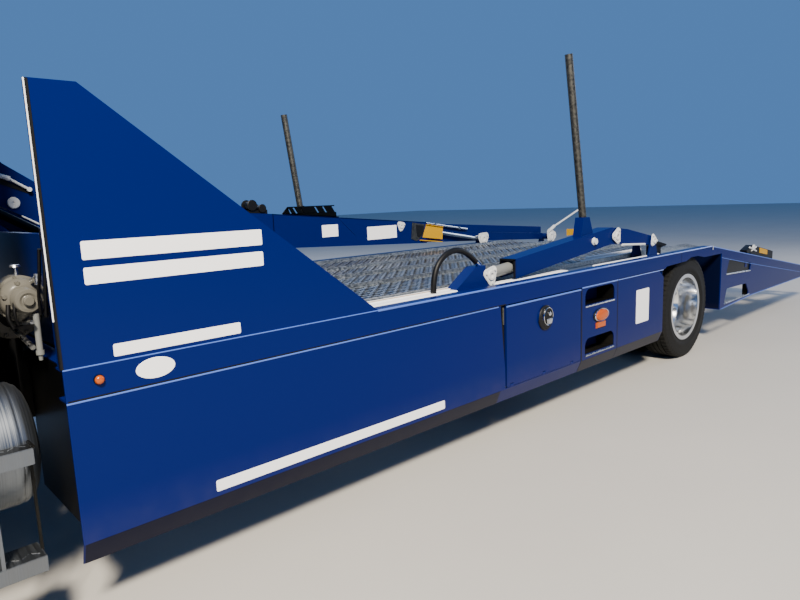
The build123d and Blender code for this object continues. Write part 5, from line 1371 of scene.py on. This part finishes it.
@piece(cast_grey)
def drum_housing(bm):
    """The drum's wide housing, its small front cover with a hub, and the neck to the canister."""
    turned(bm, "Y", (DRUM.x, DRUM.y - 0.2, DRUM.z - 0.04), ((0.055, -0.04), (0.055, 0.06)), 32)
    housing = ((0.06, -0.155), (0.08, -0.15), (0.088, -0.135), (0.088, -0.06), (0.08, -0.052), (0.08, -0.03),
               (0.072, -0.012), (0.058, 0.0), (0.05, 0.002))
    turned(bm, "Y", DRUM, housing, 48)
    cover = ((0.05, 0.0), (0.05, 0.03), (0.046, 0.036), (0.046, 0.05), (0.042, 0.056), (0.03, 0.058),
             (0.022, 0.054), (0.0185, 0.056), (0.0185, 0.068), (0.015, 0.072), (0.0, 0.072))
    turned(bm, "Y", DRUM, cover, 48)
    for place in on_circle((DRUM.x, DRUM.y - 0.02, DRUM.z), 0.066, 6, math.pi / 12):
        turned(bm, "Y", place, ((0.01, -0.02), (0.01, 0.018), (0.008, 0.022)), 6)
    for x, y, z in on_circle((DRUM.x, DRUM.y - 0.14, DRUM.z), 0.083, 9):
        bar(bm, [(x, y, z), (x, y + 0.1, z)], 0.006, 8)

# %% Pipes, drain and hoses of the drum
@piece(zinc_plated, slot="grey_steel")
def drum_pipes(bm):
    x, y, z = DRUM
    valve = ((0.007, 0.08), (0.007, 0.118), (0.02, 0.12), (0.017, 0.128), (0.0, 0.13))
    turned(bm, "Z", (x, y - 0.085, z), valve, 16)
    for points, radius in (
            ([(x - 0.03, y + 0.01, z + 0.07), (x - 0.04, y + 0.08, z + 0.09)], 0.011),
            ([(x - 0.034, y + 0.09, z + 0.1), (x - 0.034, y + 0.09, z + 0.06)], 0.014),
            ([(x + 0.02, y - 0.34, z - 0.1), (x - 0.003, y + 0.017, z - 0.183)], 0.01),
            ([(x, y - 0.246, z - 0.119), (x, y + 0.07, z - 0.078)], 0.008),
            ([(x, y - 0.246, z - 0.119), (x + 0.01, y - 0.3, z - 0.15)], 0.008)):
        bar(bm, points, radius, 12)


@piece(grey_enamel)
def drum_drain(bm):
    x, y, z = DRUM.x - 0.023, 0.975, DRUM.z
    bar(bm, [(x, y, z - 0.052), (x, y - 0.006, z - 0.2)], 0.0115, 14)
    nozzle = ((0.015, 0.004), (0.015, -0.012), (0.009, -0.016), (0.007, -0.034))
    turned(bm, "Z", (x, y - 0.006, z - 0.2), nozzle, 12)


@piece(hose_rubber)
def drum_hoses(bm):
    x, y, z = DRUM
    ahead, out = x + 0.04, y + 0.02
    for points, radius in (
            ([(x - 0.02, 1.205, 1.47), (x - 0.02, 1.2, 1.34), (x - 0.022, 1.15, 1.24),
              (x - 0.03, 1.09, 1.15)], 0.007),
            ([(x - 0.01, 1.19, 1.4), (x - 0.012, 1.14, 1.3), (x - 0.02, 1.06, 1.225),
              (x - 0.03, 1.02, 1.15)], 0.006),
            ([(ahead + 0.02, out, z - 0.01), (ahead + 0.028, out + 0.01, z - 0.06), (ahead + 0.01, out, z - 0.1)],
             0.008),
            ([(ahead, out + 0.01, z + 0.01), (ahead + 0.008, out + 0.02, z - 0.05), (ahead - 0.005, out, z - 0.09)],
             0.006)):
        bar(bm, rounded(points, 0.05), radius, 12)

# %% [markdown]
# The space ahead of the bed is in shade, and a black plate behind the cab, from the deck down, paints that
# shade. Above it each rack arm has a slot with a small gas strut, and a round cap on its pin. The slot could be
# cut through the arm, but only its dark mouth shows, so a thin black plate paints the shade in it.

# %% Painted shade behind the cab, struts and caps on the rack arms
# painted shade: a black plate behind the cab
@piece(black_enamel, sides="both", slot="black_plastic")
def apron_painted_shade(bm):
    cuboid(bm, (FRONT_END - 0.047, 0.62, 0.345), (FRONT_END - 0.041, SIDE - 0.008, 0.96), 0.001)


ARM_FACE = 0.435


# painted shade: a thin black plate in each rack arm's slot
@piece(black_plastic, body="rack", sides="both")
def rack_arm_slot_painted_shade(bm):
    outline = [(3.168, 1.756), (2.893, 1.618), (2.893, 1.604), (3.168, 1.716)]
    slab(bm, "Y", outline, ARM_FACE, ARM_FACE + 0.002)


@piece(silver_enamel, body="rack", sides="both")
def rack_arm_struts(bm):
    y = ARM_FACE + 0.012
    bar(bm, [(3.16, y, 1.742), (2.975, y, 1.674)], 0.011, 12)
    bar(bm, [(2.98, y, 1.676), (2.905, y, 1.628)], 0.006, 10)
    turned(bm, "Y", (2.905, ARM_FACE, 1.628), ((0.01, 0.0), (0.01, 0.02), (0.0, 0.02)), 12)
    cap = ((0.025, 0.0), (0.025, 0.006), (0.022, 0.009), (0.006, 0.009), (0.004, 0.005), (0.0, 0.005))
    turned(bm, "Y", (2.97, ARM_FACE, 1.571), cap, 32)
    bar(bm, [(2.944, ARM_FACE + 0.001, 1.513), (2.873, ARM_FACE + 0.001, 1.47)], 0.004, 8)

# %% [markdown]
# ## The cab's small parts
#
# A plain blue cab reads as real once its rubber, lamps and handles are there: seals round the door panes,
# five marker lamps on the roof, door handles and grab rails. They could be cut into the CAD shell, but
# they are separate parts on the truck too, bolted or glued on, and so they are separate pieces here.

# %% Where the cab is
CAB_LOW, CAB_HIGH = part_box("cab_shell")
CAB_SIDE = CAB_HIGH.y


def outline_of(name):
    """The corner points, in the side view, of a pane that lies across Y, in order round its middle."""
    points = {(round(v.co.x, 4), round(v.co.z, 4)) for v in nodes[name].data.vertices}
    middle = (sum(p[0] for p in points) / len(points), sum(p[1] for p in points) / len(points))
    return sorted(points, key=lambda p: math.atan2(p[1] - middle[1], p[0] - middle[0]))


for hand, sign in (("left", 1), ("right", -1)):
    @piece(black_plastic, body=f"door_{hand}", name=f"door_window_seal_{hand}")
    def window_seal(bm):
        loop = outline_of("door_glass_left")
        y = sign * (CAB_SIDE + 0.001)
        bar(bm, rounded([(x, y, z) for x, z in loop + loop[:1]], 0.03), 0.008, 8)

    @piece(chrome, body=f"door_{hand}", name=f"door_handle_{hand}", sides=hand)
    def handle(bm):
        cuboid(bm, (3.49, CAB_SIDE, 1.555), (3.62, CAB_SIDE + 0.028, 1.595), 0.008)
        turned(bm, "Y", (3.66, CAB_SIDE, 1.575), ((0.016, 0.0), (0.016, 0.006), (0.0, 0.006)), 20)

# %% Roof lamps and grab rails
ROOF_LAMPS = (-0.62, -0.22, 0.0, 0.22, 0.62)


@piece(black_plastic)
def roof_lamp_feet(bm):
    for y in ROOF_LAMPS:
        dome(bm, "Z", (4.02, y, CAB_HIGH.z - 0.003), 0.062, 0.03, ((1.0, 0.0), (0.95, 0.01), (0.9, 0.012)))


@piece(amber_lens)
def roof_lamp_lenses(bm):
    for y in ROOF_LAMPS:
        rings = ((1.0, 0.0), (0.92, 0.014), (0.7, 0.024), (0.3, 0.028))
        dome(bm, "Z", (4.02, y, CAB_HIGH.z + 0.008), 0.052, 0.024, rings)


@piece(chrome, sides="both")
def cab_grab_rails(bm):
    x = CAB_LOW.x + 0.16
    y = CAB_SIDE + 0.045
    bar(bm, rounded([(x, CAB_SIDE, 1.35), (x, y, 1.38), (x, y, 1.92), (x, CAB_SIDE, 1.95)], 0.03), 0.012, 12)

# %% [markdown]
# ## Floor and light
#
# The truck stands on a plain pale floor. Outdoors the sun stood behind the viewer, ahead of the truck and
# on its left: its light ends a little inside the skirts' hems. So the key is a soft lamp in that quarter,
# and a broad pale blue one fills the far side. Spot lamps would give the shadows hard edges.

# %% Floor and soft lamps
FLOOR_HALF = 60.0
FLOOR_CLOUD_MM = 1250.0


def plain_floor():
    """A flat pale floor, a little uneven in tone."""
    mesh = bpy.data.meshes.new("floor")
    corners = [(-FLOOR_HALF, -FLOOR_HALF, 0), (FLOOR_HALF, -FLOOR_HALF, 0), (FLOOR_HALF, FLOOR_HALF, 0),
               (-FLOOR_HALF, FLOOR_HALF, 0)]
    mesh.from_pydata(corners, [], [(0, 1, 2, 3)])
    material, tree, surface, place = finish_of("floor_concrete_sealed", Roughness=0.7)
    cloud = add(tree, "ShaderNodeTexNoise", {"Vector": place, "Scale": 1000 / FLOOR_CLOUD_MM, "Detail": 4.0})
    tone = add(tree, "ShaderNodeMix", {"Factor": cloud.outputs["Fac"], 6: paint("a9a69f"), 7: paint("b4b1a9")},
               data_type="RGBA")
    feed(tree, surface, Base_Color=tone.outputs[2])
    mesh.materials.append(material)
    into_scene("floor", mesh)


def soft_lamp(name, place, aim, size, watts, colour):
    """A square area lamp at place, facing aim."""
    data = bpy.data.lights.new(name, "AREA")
    data.size = size
    data.energy = watts
    data.color = paint(colour)[:3]
    lamp = into_scene(name, data)
    lamp.location = place
    lamp.rotation_euler = (Vector(aim) - Vector(place)).to_track_quat("-Z", "Y").to_euler()

# %% Lamps and sky
LAMPS = (
    # name, place, aim, size, watts, colour
    ("sun", (7.5, 9.5, 11.0), (-1.5, 0.0, 0.8), 2.2, 7000.0, "fff3e0"),
    ("sky", (-2.0, -12.0, 8.0), (0.0, 0.0, 0.9), 9.0, 600.0, "cfe0ff"),
    ("tail", (-12.0, 4.0, 5.0), (-3.0, 0.0, 0.7), 5.0, 350.0, "eef3ff"),
)
plain_floor()
for lamp in LAMPS:
    soft_lamp(*lamp)
world = bpy.data.worlds.new("studio")
world.use_nodes = True
sky = world.node_tree.nodes["Background"]
sky.inputs["Color"].default_value = paint("6ca6f4")
sky.inputs["Strength"].default_value = 0.55
bpy.context.scene.world = world
print("lamps", len(LAMPS))
